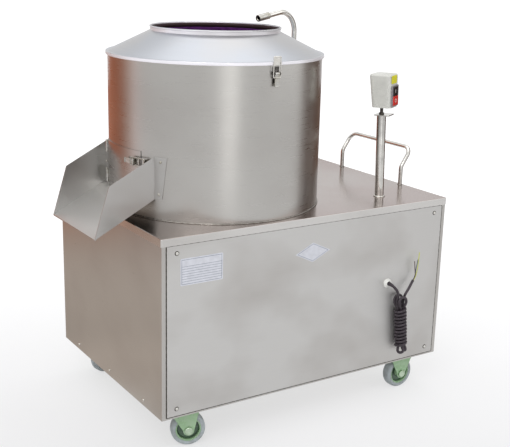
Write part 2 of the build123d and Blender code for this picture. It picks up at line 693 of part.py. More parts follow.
def drum_shell():
    return at_drum(ring(DRUM_RADIUS, DRUM_BORE, DECK_Z, DRUM_TOP) - port_cut())


def abrasive_lining():
    low = DECK_Z + FLOOR_SHEET
    shape = ring(LINING_RADIUS, LINING_BORE, low, DRUM_TOP - LINING_TOP_MARGIN)
    return at_drum(shape - port_cut(1.0))


def drum_floor():
    """Wet pan under the turntable, with a collar round the shaft and a drain hole."""
    shape = rod(DRUM_BORE - SEAT_GAP, DECK_Z, DECK_Z + FLOOR_SHEET)
    shape += rod(COLLAR_RADIUS, DECK_Z, DECK_Z + FLOOR_COLLAR_HEIGHT)
    shape -= rod(COLLAR_BORE, DECK_Z, DECK_Z + FLOOR_COLLAR_HEIGHT)
    shape -= rod(DRAIN_RADIUS + SEAT_GAP, DECK_Z, DECK_Z + FLOOR_SHEET, 0.0, DRAIN_OFFSET)
    return at_drum(shape)


def cone_cover():
    """Rolled skirt over the drum's rim, a cone, and a collar with a bead at the mouth."""
    shoulder = DRUM_BORE - 1.0
    base, mouth, top = DRUM_TOP, MOUTH_BOTTOM, MOUTH_TOP
    bead = MOUTH_RADIUS + COVER_SHEET
    sheet = COVER_SHEET
    profile = [
        (SKIRT_INNER, SKIRT_BOTTOM),
        (SKIRT_RADIUS, SKIRT_BOTTOM),
        (SKIRT_RADIUS, SKIRT_TOP),
        (shoulder + 1.0, SKIRT_TOP),
        (bead, mouth + sheet),
        (bead, top),
        (MOUTH_RADIUS, top),
        (MOUTH_RADIUS, mouth),
        (shoulder, base),
        (SKIRT_INNER, base),
    ]
    shape = turned(profile)
    rim = [e for e in shape.edges().filter_by(GeomType.CIRCLE) if abs(e.radius - SKIRT_RADIUS) < 0.01]
    shape = fillet(rim, SKIRT_THICKNESS * 0.45)
    bead_ring = Pos(0, 0, top) * Torus(MOUTH_RADIUS + COVER_SHEET / 2 + 0.4, MOUTH_BEAD)
    return at_drum(shape + bead_ring)


def turntable():
    """Abrasive disc with raised ribs, a hub skirt over the floor's collar and a cap nut."""
    top = DECK_Z + TURNTABLE_TOP
    under = top - TURNTABLE_THICKNESS
    skirt_bore = COLLAR_RADIUS + 3.0
    skirt_low = DECK_Z + FLOOR_SHEET + 5.0
    nut_low = top + BOSS_HEIGHT
    bevel = TURNTABLE_THICKNESS * 0.3
    shape = turned([
        (SHAFT_RADIUS, under),
        (skirt_bore, under),
        (skirt_bore, skirt_low),
        (skirt_bore + HUB_WALL, skirt_low),
        (skirt_bore + HUB_WALL, under),
        (TURNTABLE_RADIUS, under),
        (TURNTABLE_RADIUS, top - bevel),
        (TURNTABLE_RADIUS - bevel, top),
        (HUB_BOSS_RADIUS, top),
        (CAP_NUT_RADIUS, nut_low),
        (CAP_NUT_RADIUS, nut_low + CAP_NUT_HEIGHT * 0.5),
        (CAP_NUT_RADIUS * 0.8, nut_low + CAP_NUT_HEIGHT * 0.85),
        (CAP_NUT_RADIUS * 0.4, nut_low + CAP_NUT_HEIGHT),
        (0.0, nut_low + CAP_NUT_HEIGHT),
        (0.0, nut_low),
        (SHAFT_RADIUS, nut_low),
    ])
    inner, outer = HUB_BOSS_RADIUS - 6.0, TURNTABLE_RADIUS - 18.0
    half, crest = TURNTABLE_RIB_WIDTH / 2, TURNTABLE_RIB_WIDTH / 5
    section = make_face(Polyline([
        (inner, -half, top - 1.0),
        (inner, half, top - 1.0),
        (inner, crest, top + TURNTABLE_RIB_HEIGHT),
        (inner, -crest, top + TURNTABLE_RIB_HEIGHT),
    ], close=True))
    rib = extrude(section, outer - inner, dir=(1, 0, 0))
    for index in range(TURNTABLE_RIBS):
        shape += Rot(0, 0, 360.0 * index / TURNTABLE_RIBS) * rib
    return at_drum(shape)


def main_shaft():
    return at_drum(rod(SHAFT_RADIUS, PULLEY_BOTTOM - 4.0, DECK_Z + TURNTABLE_TOP + BOSS_HEIGHT))


def housing_span():
    top = DECK_UNDER - HOUSING_TOP_GAP
    return top - HOUSING_LENGTH, top


def bearing_housing():
    """Flanged housing under the drum beams with two bearings and a lip seal."""
    low, top = housing_span()
    flange_top = BEAM_UNDER
    half = DRUM_BEAM_SPACING / 2 + TUBE / 2
    body = rod(HOUSING_RADIUS, low, top)
    body += block(-half, half, -half, half, flange_top - HOUSING_FLANGE, flange_top)
    body -= rod(SHAFT_RADIUS + 2.0, low, top)
    seal_low = top - SEAL_WIDTH
    bearing_top = seal_low - BEARING_WIDTH
    body -= rod(BEARING_RADIUS, low, low + BEARING_WIDTH)
    body -= rod(BEARING_RADIUS, bearing_top, top)
    shaft_bore = SHAFT_RADIUS + RUNNING_GAP
    rings = [
        body,
        ring(BEARING_RADIUS, shaft_bore, low, low + BEARING_WIDTH),
        ring(BEARING_RADIUS, shaft_bore, bearing_top, seal_low),
        ring(BEARING_RADIUS, shaft_bore, seal_low, top),
    ]
    return group([at_drum(piece) for piece in rings])


def grooved(radius, hub_radius, bore, web):
    """V-belt pulley about Z with its top at PULLEY_TOP; web 0 leaves it solid."""
    shape = rod(radius, PULLEY_BOTTOM, PULLEY_TOP)
    for index in range(PULLEY_GROOVES):
        z = groove_level(index)
        shape -= turned([
            (radius - GROOVE_DEPTH, z - GROOVE_ROOT / 2),
            (radius + 0.5, z - GROOVE_MOUTH / 2),
            (radius + 0.5, z + GROOVE_MOUTH / 2),
            (radius - GROOVE_DEPTH, z + GROOVE_ROOT / 2),
        ])
    if web:
        rim = radius - GROOVE_DEPTH - 9.0
        middle = (PULLEY_BOTTOM + PULLEY_TOP) / 2
        shape -= ring(rim, hub_radius, middle + web / 2, PULLEY_TOP)
        shape -= ring(rim, hub_radius, PULLEY_BOTTOM, middle - web / 2)
    return shape - rod(bore, PULLEY_BOTTOM, PULLEY_TOP)


def groove_level(index):
    middle = (PULLEY_BOTTOM + PULLEY_TOP) / 2
    return middle + (index - (PULLEY_GROOVES - 1) / 2) * GROOVE_PITCH


def shaft_pulley():
    return at_drum(grooved(PULLEY_RADIUS, 34.0, SHAFT_RADIUS, PULLEY_WEB))


def motor_pulley():
    """Small pulley with the motor shaft that it is keyed to."""
    pulley = grooved(MOTOR_PULLEY_RADIUS, 0.0, MOTOR_SHAFT_RADIUS, 0.0)
    shaft = rod(MOTOR_SHAFT_RADIUS, PULLEY_BOTTOM, MOTOR_BASE + MOTOR_SHAFT_SEAT)
    return group([Pos(MOTOR_X, DRUM_Y, 0) * pulley, Pos(MOTOR_X, DRUM_Y, 0) * shaft])


def belt_outline(large, small):
    """Outline round two discs on the X axis with their common tangents."""
    lean = acos((large - small) / DRIVE_CENTRES)
    corners = [
        (large * cos(lean), large * sin(lean)),
        (DRIVE_CENTRES + small * cos(lean), small * sin(lean)),
        (DRIVE_CENTRES + small * cos(lean), -small * sin(lean)),
        (large * cos(lean), -large * sin(lean)),
    ]
    outline = make_face(Polyline(corners, close=True))
    return outline + Circle(large) + Pos(DRIVE_CENTRES, 0) * Circle(small)


def drive_belts():
    belts = []
    outer = belt_outline(PULLEY_RADIUS, MOTOR_PULLEY_RADIUS)
    inner = belt_outline(PULLEY_RADIUS - BELT_DEPTH, MOTOR_PULLEY_RADIUS - BELT_DEPTH)
    for index in range(PULLEY_GROOVES):
        low = groove_level(index) - BELT_WIDTH / 2
        belt = extrude(outer, BELT_WIDTH) - extrude(inner, BELT_WIDTH)
        belts.append(Pos(DRUM_X, DRUM_Y, low) * belt)
    return group(belts)


def motor():
    """Upright motor on its plate: flange, finned body, fan cowl and terminal box."""
    cowl = MOTOR_HEIGHT - MOTOR_COWL
    fin_reach = MOTOR_RADIUS + MOTOR_FIN_HEIGHT
    shape = rod(MOTOR_RADIUS + MOTOR_FLANGE_LAP, 0.0, MOTOR_FLANGE)
    shape += rod(MOTOR_RADIUS, MOTOR_FLANGE, MOTOR_HEIGHT)
    for index in range(MOTOR_FINS):
        fin = block(MOTOR_RADIUS - 2.0, fin_reach, -1.5, 1.5, MOTOR_FLANGE, cowl)
        shape += Rot(0, 0, 360.0 * index / MOTOR_FINS) * fin
    shape += rod(fin_reach + 2.0, cowl, MOTOR_HEIGHT)
    shape += block(MOTOR_RADIUS - 6.0, MOTOR_RADIUS + TERMINAL_BOX_REACH,
                   -TERMINAL_BOX_WIDTH / 2, TERMINAL_BOX_WIDTH / 2,
                   TERMINAL_BOX_RISE, TERMINAL_BOX_RISE + TERMINAL_BOX_HEIGHT)
    shape -= rod(MOTOR_SHAFT_RADIUS + RUNNING_GAP, 0.0, MOTOR_SHAFT_SEAT + FACE_GAP)
    return Pos(MOTOR_X, DRUM_Y, MOTOR_BASE) * shape


def drain_spout():
    """Straight drain from the drum's floor, through the cabinet, to a hose tail."""
    x, y = DRUM_X, DRUM_Y + DRAIN_OFFSET
    low = PAN_Z - DRAIN_TAIL
    shape = rod(DRAIN_RADIUS, low, DECK_Z + FLOOR_SHEET, x, y)
    shape += rod(DRAIN_NOSE_RADIUS, low, low + DRAIN_NOSE_LENGTH, x, y)
    return shape - rod(DRAIN_RADIUS - DRAIN_WALL, low, DECK_Z + FLOOR_SHEET, x, y)


# ------------------------------------------------------------ chute and door

def chute_top():
    """Height of the chute's side walls where they meet the drum."""
    return CHUTE_ROOT_Z + CHUTE_WALL_HEIGHT


def chute_flange(side):
    """Tapered flange of one wall, on the drum; side -1 is the back wall, +1 the front."""
    edges = sorted(180.0 + side * (CHUTE_ROOT_ANGLE + offset)
                   for offset in (-0.2, degrees(CHUTE_FLANGE / DRUM_RADIUS)))
    plate = curved_plate(DRUM_RADIUS + SEAT_GAP, CHUTE_SHEET, *edges, CHUTE_ROOT_Z, chute_top())
    place = on_drum(180.0 + side * CHUTE_ROOT_ANGLE, 0.8 * DRUM_RADIUS, CHUTE_ROOT_Z)
    outline = make_face(Polyline([
        (-side * CHUTE_FLANGE, 0),
        (side * CHUTE_FLANGE_FOOT, 0),
        (side * CHUTE_FLANGE, CHUTE_WALL_HEIGHT),
        (-side * CHUTE_FLANGE, CHUTE_WALL_HEIGHT),
    ], close=True))
    return plate & place * extrude(outline, 0.4 * DRUM_RADIUS, dir=(0, 0, 1))


def chute():
    """Sloped floor between two side walls, with flanges that lie on the drum."""
    half = CHUTE_HALF
    lip_x = CHUTE_LIP_X
    inner_x = CHUTE_ROOT_X + 0.2 * DRUM_RADIUS
    inner_z = CHUTE_LIP_Z + (inner_x - lip_x) * CHUTE_RISE
    nose_x = lip_x + CHUTE_NOSE_LEAN
    nose_z = CHUTE_LIP_Z + CHUTE_NOSE_RISE
    inner_top = nose_z + (chute_top() - nose_z) * (inner_x - nose_x) / (CHUTE_ROOT_X - nose_x)
    side = make_face(Polyline([
        (inner_x, 0, inner_z),
        (lip_x, 0, CHUTE_LIP_Z),
        (nose_x, 0, nose_z),
        (inner_x, 0, inner_top),
    ], close=True))
    shape = Pos(0, -half + CHUTE_SHEET, 0) * extrude(side, CHUTE_SHEET, dir=(0, -1, 0))
    shape += Pos(0, half, 0) * extrude(side, CHUTE_SHEET, dir=(0, -1, 0))
    thickness = CHUTE_SHEET / cos(radians(CHUTE_SLOPE))
    floor = make_face(Polyline([
        (inner_x, 0, inner_z),
        (lip_x, 0, CHUTE_LIP_Z),
        (lip_x, 0, CHUTE_LIP_Z - CHUTE_HEM),
        (lip_x + CHUTE_HEM, 0, CHUTE_LIP_Z - CHUTE_HEM),
        (lip_x + CHUTE_HEM, 0, CHUTE_LIP_Z + CHUTE_HEM * CHUTE_RISE - thickness),
        (inner_x, 0, inner_z - thickness),
    ], close=True))
    shape += Pos(0, half, 0) * extrude(floor, 2 * half, dir=(0, -1, 0))
    pad_x, pad_z = -DRUM_RADIUS + CHUTE_PAD_REACH, DECK_Z + CHUTE_PAD_RISE
    reach = CHUTE_PAD / 2
    wall = half - CHUTE_SHEET
    shape += block(pad_x - reach, pad_x + reach, wall - CHUTE_PAD_SHEET, wall,
                   pad_z - reach, pad_z + reach)
    shape -= rod(DRUM_RADIUS + SEAT_GAP, DECK_Z, DRUM_TOP)
    for side_sign in (-1, 1):
        shape += chute_flange(side_sign)
    return at_drum(shape)


def rivet():
    """Domed rivet head standing on z 0."""
    head = Cylinder(RIVET_RADIUS, RIVET_HEIGHT, align=(Align.CENTER, Align.CENTER, Align.MIN))
    return fillet(head.edges().group_by(Axis.Z)[-1], RIVET_HEIGHT * 0.8)


def rivets():
    """Rivets of the chute: two in each flange and three inside the back wall."""
    radius = DRUM_RADIUS + SEAT_GAP + CHUTE_SHEET
    heads = []
    for side in (-1, 1):
        for share in (0.1, 0.88):
            width = CHUTE_FLANGE_FOOT + share * (CHUTE_FLANGE - CHUTE_FLANGE_FOOT)
            azimuth = 180.0 + side * (CHUTE_ROOT_ANGLE + degrees(0.5 * width / DRUM_RADIUS))
            level = CHUTE_ROOT_Z + share * CHUTE_WALL_HEIGHT
            heads.append(at_drum(on_drum(azimuth, radius, level) * rivet()))
    for index in range(3):
        place = Pos(-DRUM_RADIUS + CHUTE_RIVET_REACH, CHUTE_HALF - CHUTE_SHEET,
                    DECK_Z + CHUTE_RIVET_RISE - index * CHUTE_RIVET_PITCH)
        heads.append(at_drum(place * Rot(90, 0, 0) * rivet()))
    return group(heads)


def hinge_axis():
    """The door's pin, about the drum's axis."""
    a = radians(HINGE_AZIMUTH)
    return HINGE_RADIUS * cos(a), HINGE_RADIUS * sin(a)


def hinge_barrel(z0, z1, bore):
    x, y = hinge_axis()
    return ring(HINGE_BARREL_RADIUS, bore, z0, z1, x, y)


def discharge_door():
    """Curved door plate with one hinge knuckle at each level."""
    shape = curved_plate(DOOR_RADIUS, DOOR_SHEET, DOOR_HELD_AZIMUTH, DOOR_FREE_AZIMUTH,
                         DOOR_BOTTOM, DOOR_TOP)
    half = HINGE_KNUCKLE / 2 - FACE_GAP
    x, y = hinge_axis()
    for level in HINGE_LEVELS:
        strap = curved_plate(DOOR_RADIUS, DOOR_SHEET, HINGE_AZIMUTH, DOOR_HELD_AZIMUTH + 0.5,
                             level - half, level + half)
        barrel = rod(HINGE_BARREL_RADIUS, level - half, level + half, x, y)
        shape += strap + barrel
        shape -= rod(HINGE_PIN_RADIUS + RUNNING_GAP, level - half, level + half, x, y)
    return at_drum(shape)


def door_hinge():
    """Fixed leaves, their knuckles above and below the door's, and the pins."""
    x, y = hinge_axis()
    leaf_angle = degrees(HINGE_LEAF / DRUM_RADIUS)
    inner = DRUM_RADIUS + SEAT_GAP
    pieces = []
    for level in HINGE_LEVELS:
        half = 1.5 * HINGE_KNUCKLE
        leaf = curved_plate(inner, LEAF_SHEET, HINGE_AZIMUTH - leaf_angle,
                            HINGE_AZIMUTH - BARREL_ANGLE, level - half, level + half)
        for z0 in (level - half, level + HINGE_KNUCKLE / 2):
            z1 = z0 + HINGE_KNUCKLE
            neck = curved_plate(inner, HINGE_RADIUS - inner, HINGE_AZIMUTH - BARREL_ANGLE - 0.2,
                                HINGE_AZIMUTH, z0, z1)
            knuckle = rod(HINGE_BARREL_RADIUS, z0, z1, x, y)
            leaf += neck + knuckle
        leaf += rod(HINGE_PIN_RADIUS, level - half, level + half, x, y)
        pieces.append(at_drum(leaf))
    return group(pieces)


# ------------------------------------------------------------ draw latches
# In a latch's own frame x runs along its pins, y towards the hook, z outwards.

def latch_leg():
    """Distance from the middle of the latch to each leg of its bail."""
    ears = LATCH_LEVER_WIDTH / 2 + LATCH_SIDE_GAP + LATCH_SHEET
    return ears + LATCH_SIDE_GAP + LATCH_WIRE_RADIUS


def cross_rod(radius, half_length, y, z):
    return Pos(0, y, z) * Rot(0, 90, 0) * Cylinder(radius, 2 * half_length)


def latch_base():
    inner = LATCH_LEVER_WIDTH / 2 + LATCH_SIDE_GAP
    outer = inner + LATCH_SHEET
    shape = block(-outer, outer, -LATCH_BASE_TAIL, LATCH_BASE_HEAD, 0.0, LATCH_SHEET)
    for side in (-1, 1):
        x0, x1 = sorted((side * inner, side * outer))
        ear = block(x0, x1, -LATCH_EAR_RADIUS, LATCH_EAR_RADIUS, 0.0, LATCH_PIN_HEIGHT)
        round_end = Pos((x0 + x1) / 2, 0, LATCH_PIN_HEIGHT) * Rot(0, 90, 0) * Cylinder(
            LATCH_EAR_RADIUS, LATCH_SHEET)
        shape += ear + round_end
    shape += cross_rod(LATCH_PIN_RADIUS, outer, 0.0, LATCH_PIN_HEIGHT)
    for y in (LATCH_BASE_HEAD - 6.0, -LATCH_BASE_TAIL + 6.0):
        stud = Pos(0, y, LATCH_SHEET) * Cylinder(
            2.6, 1.2, align=(Align.CENTER, Align.CENTER, Align.MIN))
        shape += fillet(stud.edges().group_by(Axis.Z)[-1], 0.9)
    return shape


def latch_lever():
    half = LATCH_LEVER_WIDTH / 2
    level = LATCH_PIN_HEIGHT
    tip = -LATCH_LEVER
    plate = block(-half, half, tip, 0.0, level - LATCH_SHEET / 2, level + LATCH_SHEET / 2)
    shape = plate + cross_rod(LATCH_PIN_RADIUS + LATCH_SHEET, half, 0.0, level)
    shape += cross_rod(LATCH_WIRE_RADIUS + LATCH_SHEET, half, -LATCH_THROW, level)
    shape += cross_rod(LATCH_SHEET, half, tip, level + LATCH_SHEET / 2)
    shape -= cross_rod(LATCH_PIN_RADIUS + RUNNING_GAP, half, 0.0, level)
    shape -= cross_rod(LATCH_WIRE_RADIUS + RUNNING_GAP, half, -LATCH_THROW, level)
    return shape


def latch_bail():
    leg = latch_leg()
    hold = LATCH_LEVER_WIDTH / 2 - LATCH_BAIL_HOLD
    level = LATCH_PIN_HEIGHT
    path = FilletPolyline(
        (-hold, -LATCH_THROW, level),
        (-leg, -LATCH_THROW, level),
        (-leg, LATCH_REACH, level),
        (leg, LATCH_REACH, level),
        (leg, -LATCH_THROW, level),
        (hold, -LATCH_THROW, level),
        radius=LATCH_WIRE_RADIUS + 1.0,
    )
    return tube_along(path, LATCH_WIRE_RADIUS)


def latch_hook(place, carrier_radius, z0, z1, foot_length):
    """Hook plate for a latch at place, on a foot that lies on a cylinder.

    The foot covers the heights z0 to z1 and runs foot_length back from the hook."""
    half = latch_leg() - LATCH_WIRE_RADIUS - LATCH_SIDE_GAP
    top = LATCH_REACH - LATCH_WIRE_RADIUS - FACE_GAP
    outer = LATCH_PIN_HEIGHT
    reach = 2 * LATCH_REACH
    carrier = rod(carrier_radius + SEAT_GAP, z0 - reach, z1 + reach)
    stand = place * block(-half, half, top - LATCH_SHEET, top, -LATCH_REACH, outer)
    foot = place * block(-half, half, top - foot_length, top, -LATCH_REACH, outer)
    foot &= ring(carrier_radius + SEAT_GAP + LATCH_SHEET, carrier_radius + SEAT_GAP, z0, z1)
    return stand - carrier + foot


def lid_latch_place():
    top = SKIRT_TOP + LID_HOOK_RISE
    return on_drum(LID_LATCH_AZIMUTH, DRUM_RADIUS, top - LATCH_REACH + LATCH_WIRE_RADIUS + FACE_GAP)


def door_latch_place():
    a = radians(DOOR_LATCH_AZIMUTH)
    return on_drum(DOOR_LATCH_AZIMUTH, DOOR_FACE, DECK_Z + DOOR_LATCH_RISE,
                   draw=(-sin(a), cos(a), 0))


def lid_catch():
    top = SKIRT_TOP + LID_HOOK_RISE
    return at_drum(latch_hook(lid_latch_place(), SKIRT_RADIUS, SKIRT_BOTTOM, top, top - SKIRT_BOTTOM))


def door_hook():
    level = DECK_Z + DOOR_LATCH_RISE
    half = latch_leg() - LATCH_WIRE_RADIUS - LATCH_SIDE_GAP
    return at_drum(latch_hook(door_latch_place(), DRUM_RADIUS, level - half, level + half,
                              LATCH_HOOK_FOOT))


# ------------------------------------------------------------ water, handle

def water_pipe():
    """Inlet stub, riser beside the drum and a bend over the mouth."""
    a = radians(PIPE_AZIMUTH)
    standoff = DRUM_RADIUS + PIPE_STANDOFF
    x, y = DRUM_X + standoff * cos(a), DRUM_Y + standoff * sin(a)
    low, high = DECK_Z + PIPE_INLET_RISE, PIPE_TOP
    drop = PIPE_REACH * tan(radians(PIPE_DROOP))
    path = FilletPolyline(
        (x, y + PIPE_INLET_REACH, low),
        (x, y, low),
        (x, y, high),
        (x - PIPE_REACH * cos(a), y - PIPE_REACH * sin(a), high - drop),
        radius=[PIPE_INLET_BEND, PIPE_BEND],
    )
    return tube_along(path, PIPE_RADIUS, PIPE_RADIUS - PIPE_WALL)


def pipe_nozzle():
    """Sleeve over the end of the water pipe."""
    a = radians(PIPE_AZIMUTH)
    reach = DRUM_RADIUS + PIPE_STANDOFF - PIPE_REACH
    drop = PIPE_REACH * tan(radians(PIPE_DROOP))
    end = Vector(reach * cos(a), reach * sin(a), PIPE_TOP - drop)
    along = Vector(-cos(a), -sin(a), -tan(radians(PIPE_DROOP))).normalized()
    start = Plane(origin=end - along * (NOZZLE_LENGTH - 4.0), z_dir=along).location
    radius = PIPE_RADIUS + SEAT_GAP + NOZZLE_WALL
    shape = Cylinder(radius, NOZZLE_LENGTH, align=(Align.CENTER, Align.CENTER, Align.MIN))
    shape = fillet(shape.edges().group_by(Axis.Z)[-1], 1.2)
    shape -= Cylinder(PIPE_RADIUS + SEAT_GAP, NOZZLE_LENGTH,
                      align=(Align.CENTER, Align.CENTER, Align.MIN))
    return at_drum(start * shape)


def pipe_clips():
    """Clips that hold the riser off the drum."""
    standoff = DRUM_RADIUS + PIPE_STANDOFF
    clips = []
    for rise in (LOWER_CLIP_RISE, UPPER_CLIP_RISE):
        z0 = DECK_Z + rise
        z1 = z0 + CLIP_HEIGHT
        outer = PIPE_RADIUS + SEAT_GAP + CLIP_WALL
        shape = block(DRUM_RADIUS - 5.0, standoff, -CLIP_WALL, CLIP_WALL, z0, z1)
        shape += rod(outer, z0, z1, standoff, 0.0)
        shape -= rod(PIPE_RADIUS + SEAT_GAP, z0, z1, standoff, 0.0)
        shape -= rod(DRUM_RADIUS + SEAT_GAP, z0, z1)
        half = degrees(CLIP_FOOT_LENGTH / 2 / DRUM_RADIUS)
        shape += curved_plate(DRUM_RADIUS + SEAT_GAP, CLIP_WALL / 2, -half, half, z0, z1)
        clips.append(at_drum(Rot(0, 0, PIPE_AZIMUTH) * shape))
    return group(clips)


def push_handle():
    """Bent tube: upright feet, leaning legs and a crossbar."""
    x = RIGHT - HANDLE_INSET
    out = x + HANDLE_LEAN
    y0 = HANDLE_OFFSET_Y - HANDLE_SPAN / 2
    y1 = HANDLE_OFFSET_Y + HANDLE_SPAN / 2
    knee, top = DECK_Z + HANDLE_RISE, DECK_Z + HANDLE_HEIGHT
    path = FilletPolyline(
        (x, y0, DECK_Z),
        (x, y0, knee),
        (out, y0, top),
        (out, y1, top),
        (x, y1, knee),
        (x, y1, DECK_Z),
        radius=HANDLE_BEND,
    )
    return tube_along(path, HANDLE_RADIUS, HANDLE_RADIUS - PIPE_WALL)


# ------------------------------------------------------------ switch

def at_switch(shape):
    """From a frame on the leaning post's axis whose -Y is the way the switch faces."""
    lean = Pos(POST_X, POST_Y, DECK_Z) * Rot(0, -POST_LEAN, 0) * Pos(0, 0, -DECK_Z)
    return lean * Rot(0, 0, SWITCH_TURN) * shape


def switch_post():
    """Post on a round foot, with the plate that carries the switch box."""
    foot_radius = POST_RADIUS + POST_FOOT_LAP
    sink = 2 * foot_radius * sin(radians(POST_LEAN))
    low = DECK_Z - sink
    shape = rod(POST_RADIUS, low, POST_TOP)
    shape += rod(foot_radius, low, DECK_Z + POST_FOOT_HEIGHT)
    shape -= rod(POST_RADIUS - POST_WALL, low, POST_TOP)
    plate = Pos(0, -POST_PLATE_SHIFT, POST_TOP + POST_PLATE / 2) * Box(
        POST_PLATE_WIDTH, POST_PLATE_DEPTH, POST_PLATE)
    plate = fillet(plate.edges().filter_by(Axis.Z), 4.0)
    plate -= rod(STUD_RADIUS + SEAT_GAP, POST_TOP, POST_TOP + POST_PLATE)
    under = rod(2 * foot_radius, DECK_Z - 2 * foot_radius, DECK_Z, POST_X, POST_Y)
    return at_switch(shape + plate) - under


def switch_stud():
    """Hollow nipple between the plate and the box, with a nut at each end."""
    low = POST_TOP + POST_PLATE
    shape = rod(STUD_RADIUS, POST_TOP, SWITCH_BOTTOM + SWITCH_WALL)
    shape += rod(STUD_NUT_RADIUS, low, low + STUD_NUT_HEIGHT)
    shape += rod(STUD_NUT_RADIUS, SWITCH_BOTTOM - STUD_NUT_HEIGHT, SWITCH_BOTTOM)
    shape -= rod(STUD_RADIUS - 1.5, POST_TOP, SWITCH_BOTTOM + SWITCH_WALL)
    return at_switch(shape)


def button_levels():
    """Heights of the stop and start button centres."""
    return BUTTONS_MIDDLE - BUTTON_SPACING / 2, BUTTONS_MIDDLE + BUTTON_SPACING / 2


def switch_face():
    return -SWITCH_SHIFT - SWITCH_DEPTH / 2


def button_window(y0, y1):
    """Opening for the two buttons, which share it."""
    return block(-BUTTONS_HALF_WIDTH, BUTTONS_HALF_WIDTH, y0, y1,
                 BUTTONS_MIDDLE - BUTTONS_HALF_HEIGHT, BUTTONS_MIDDLE + BUTTONS_HALF_HEIGHT)


def switch_section(side, back, z):
    """Rounded section of the box at height z, drawn in by side and back."""
    y0 = switch_face()
    y1 = y0 + SWITCH_DEPTH - back
    width = SWITCH_WIDTH - 2 * side
    return Pos(0, (y0 + y1) / 2, z) * RectangleRounded(width, y1 - y0, SWITCH_CORNER)


def switch_box():
    """Hollow box that draws in towards its bottom, with a window behind the buttons."""
    y0 = switch_face()
    z0, z1 = SWITCH_BOTTOM, SWITCH_BOTTOM + SWITCH_HEIGHT
    shape = loft([switch_section(SWITCH_TAPER_SIDE, SWITCH_TAPER_BACK, z0), switch_section(0.0, 0.0, z1)])
    shape = fillet(shape.edges().group_by(Axis.Z)[-1], SWITCH_ROUND)
    wall = SWITCH_WALL
    half = SWITCH_WIDTH / 2 - SWITCH_TAPER_SIDE - SWITCH_CORNER / 2
    deep = y0 + SWITCH_DEPTH - SWITCH_TAPER_BACK - SWITCH_CORNER / 2
    shape -= block(-half, half, y0 + wall, deep, z0 + wall, z1 - SWITCH_ROUND)
    shape -= rod(STUD_RADIUS + SEAT_GAP, z0, z0 + wall)
    return at_switch(shape - button_window(y0, y0 + wall))


def switch_bezel():
    y1 = switch_face()
    y0 = y1 - BEZEL_DEPTH
    z0 = SWITCH_BOTTOM + BEZEL_RISE
    half = BUTTONS_HALF_WIDTH + BEZEL_SIDE
    shape = block(-half, half, y0, y1, z0, z0 + BEZEL_HEIGHT)
    shape = fillet(shape.edges().filter_by(Axis.Y), 5.0)
    shape = fillet(shape.edges().group_by(Axis.Y)[0], 0.5 * BEZEL_END)
    return at_switch(shape - button_window(y0, y1))


def button(level, proud):
    """Push button that slides along Y in its window, standing out of the bezel."""
    y0 = switch_face() - BEZEL_DEPTH - proud
    y1 = switch_face() + BUTTON_STEM
    half, tall = BUTTON_WIDTH / 2, BUTTON_HEIGHT / 2
    shape = block(-half, half, y0, y1, level - tall, level + tall)
    shape = fillet(shape.edges().filter_by(Axis.Y), 2.0)
    shape = fillet(shape.edges().group_by(Axis.Y)[0], 1.2)
    return at_switch(shape)


def stop_button():
    return button(button_levels()[0], STOP_PROUD)


def start_button():
    return button(button_levels()[1], START_PROUD)


# ------------------------------------------------------------ plates

def nameplate():
    shape = (Pos(LEFT + NAMEPLATE_INSET, PANEL_FACE - PLATE_SHEET / 2, DECK_Z - NAMEPLATE_DROP)
             * Box(NAMEPLATE_WIDTH, PLATE_SHEET, NAMEPLATE_HEIGHT))
    return fillet(shape.edges().filter_by(Axis.Y), 3.0)


def diamond_plate():
    half, tall = DIAMOND_WIDTH / 2, DIAMOND_HEIGHT / 2
    outline = make_face(Polyline([(-half, 0, 0), (0, 0, -tall), (half, 0, 0), (0, 0, tall)],
                                 close=True))
    shape = extrude(outline, PLATE_SHEET, dir=(0, -1, 0))
    return Pos(CABINET_X + DIAMOND_OFFSET_X, PANEL_FACE, DECK_Z - DIAMOND_DROP) * shape


# ------------------------------------------------------------ cord

def from_gland(point):
    return (GLAND_X + point[0], CORD_SEAT + point[1], GLAND_Z + point[2])


def cable_gland():
    """Round gland on the panel, with a recessed mouth for the cord."""
    place = Pos(GLAND_X, PANEL_FACE, GLAND_Z) * Rot(90, 0, 0)
    shape = rod(GLAND_RADIUS, 0.0, GLAND_LENGTH)
    shape = fillet(shape.edges().group_by(Axis.Z)[-1], 3.0)
    shape -= rod(GLAND_MOUTH, GLAND_FLOOR, GLAND_LENGTH)
    return place * shape


def cord_tube(route, label):
    """Cord along a route: straight runs joined by arcs as large as the runs allow."""
    points = [Vector(*from_gland(point)) for point in route]
    runs = [b - a for a, b in zip(points, points[1:])]
    radii = []
    for before, after in zip(runs, runs[1:]):
        turn = radians(before.get_angle(after))
        radii.append(0.45 * min(before.length, after.length) / tan(turn / 2))
    print(label, "radii", [round(radius, 1) for radius in radii])
    path = FilletPolyline(*points, radius=radii)
    shape = tube_along(path, CORD_RADIUS)
    print(label, "length", round(path.length, 1), "volume ratio",
          round(shape.volume / (pi * CORD_RADIUS**2 * path.length), 4))
    return shape


def cord_lead():
    return cord_tube(LEAD_ROUTE, "lead")


def cord_tail():
    return cord_tube(TAIL_ROUTE, "tail")


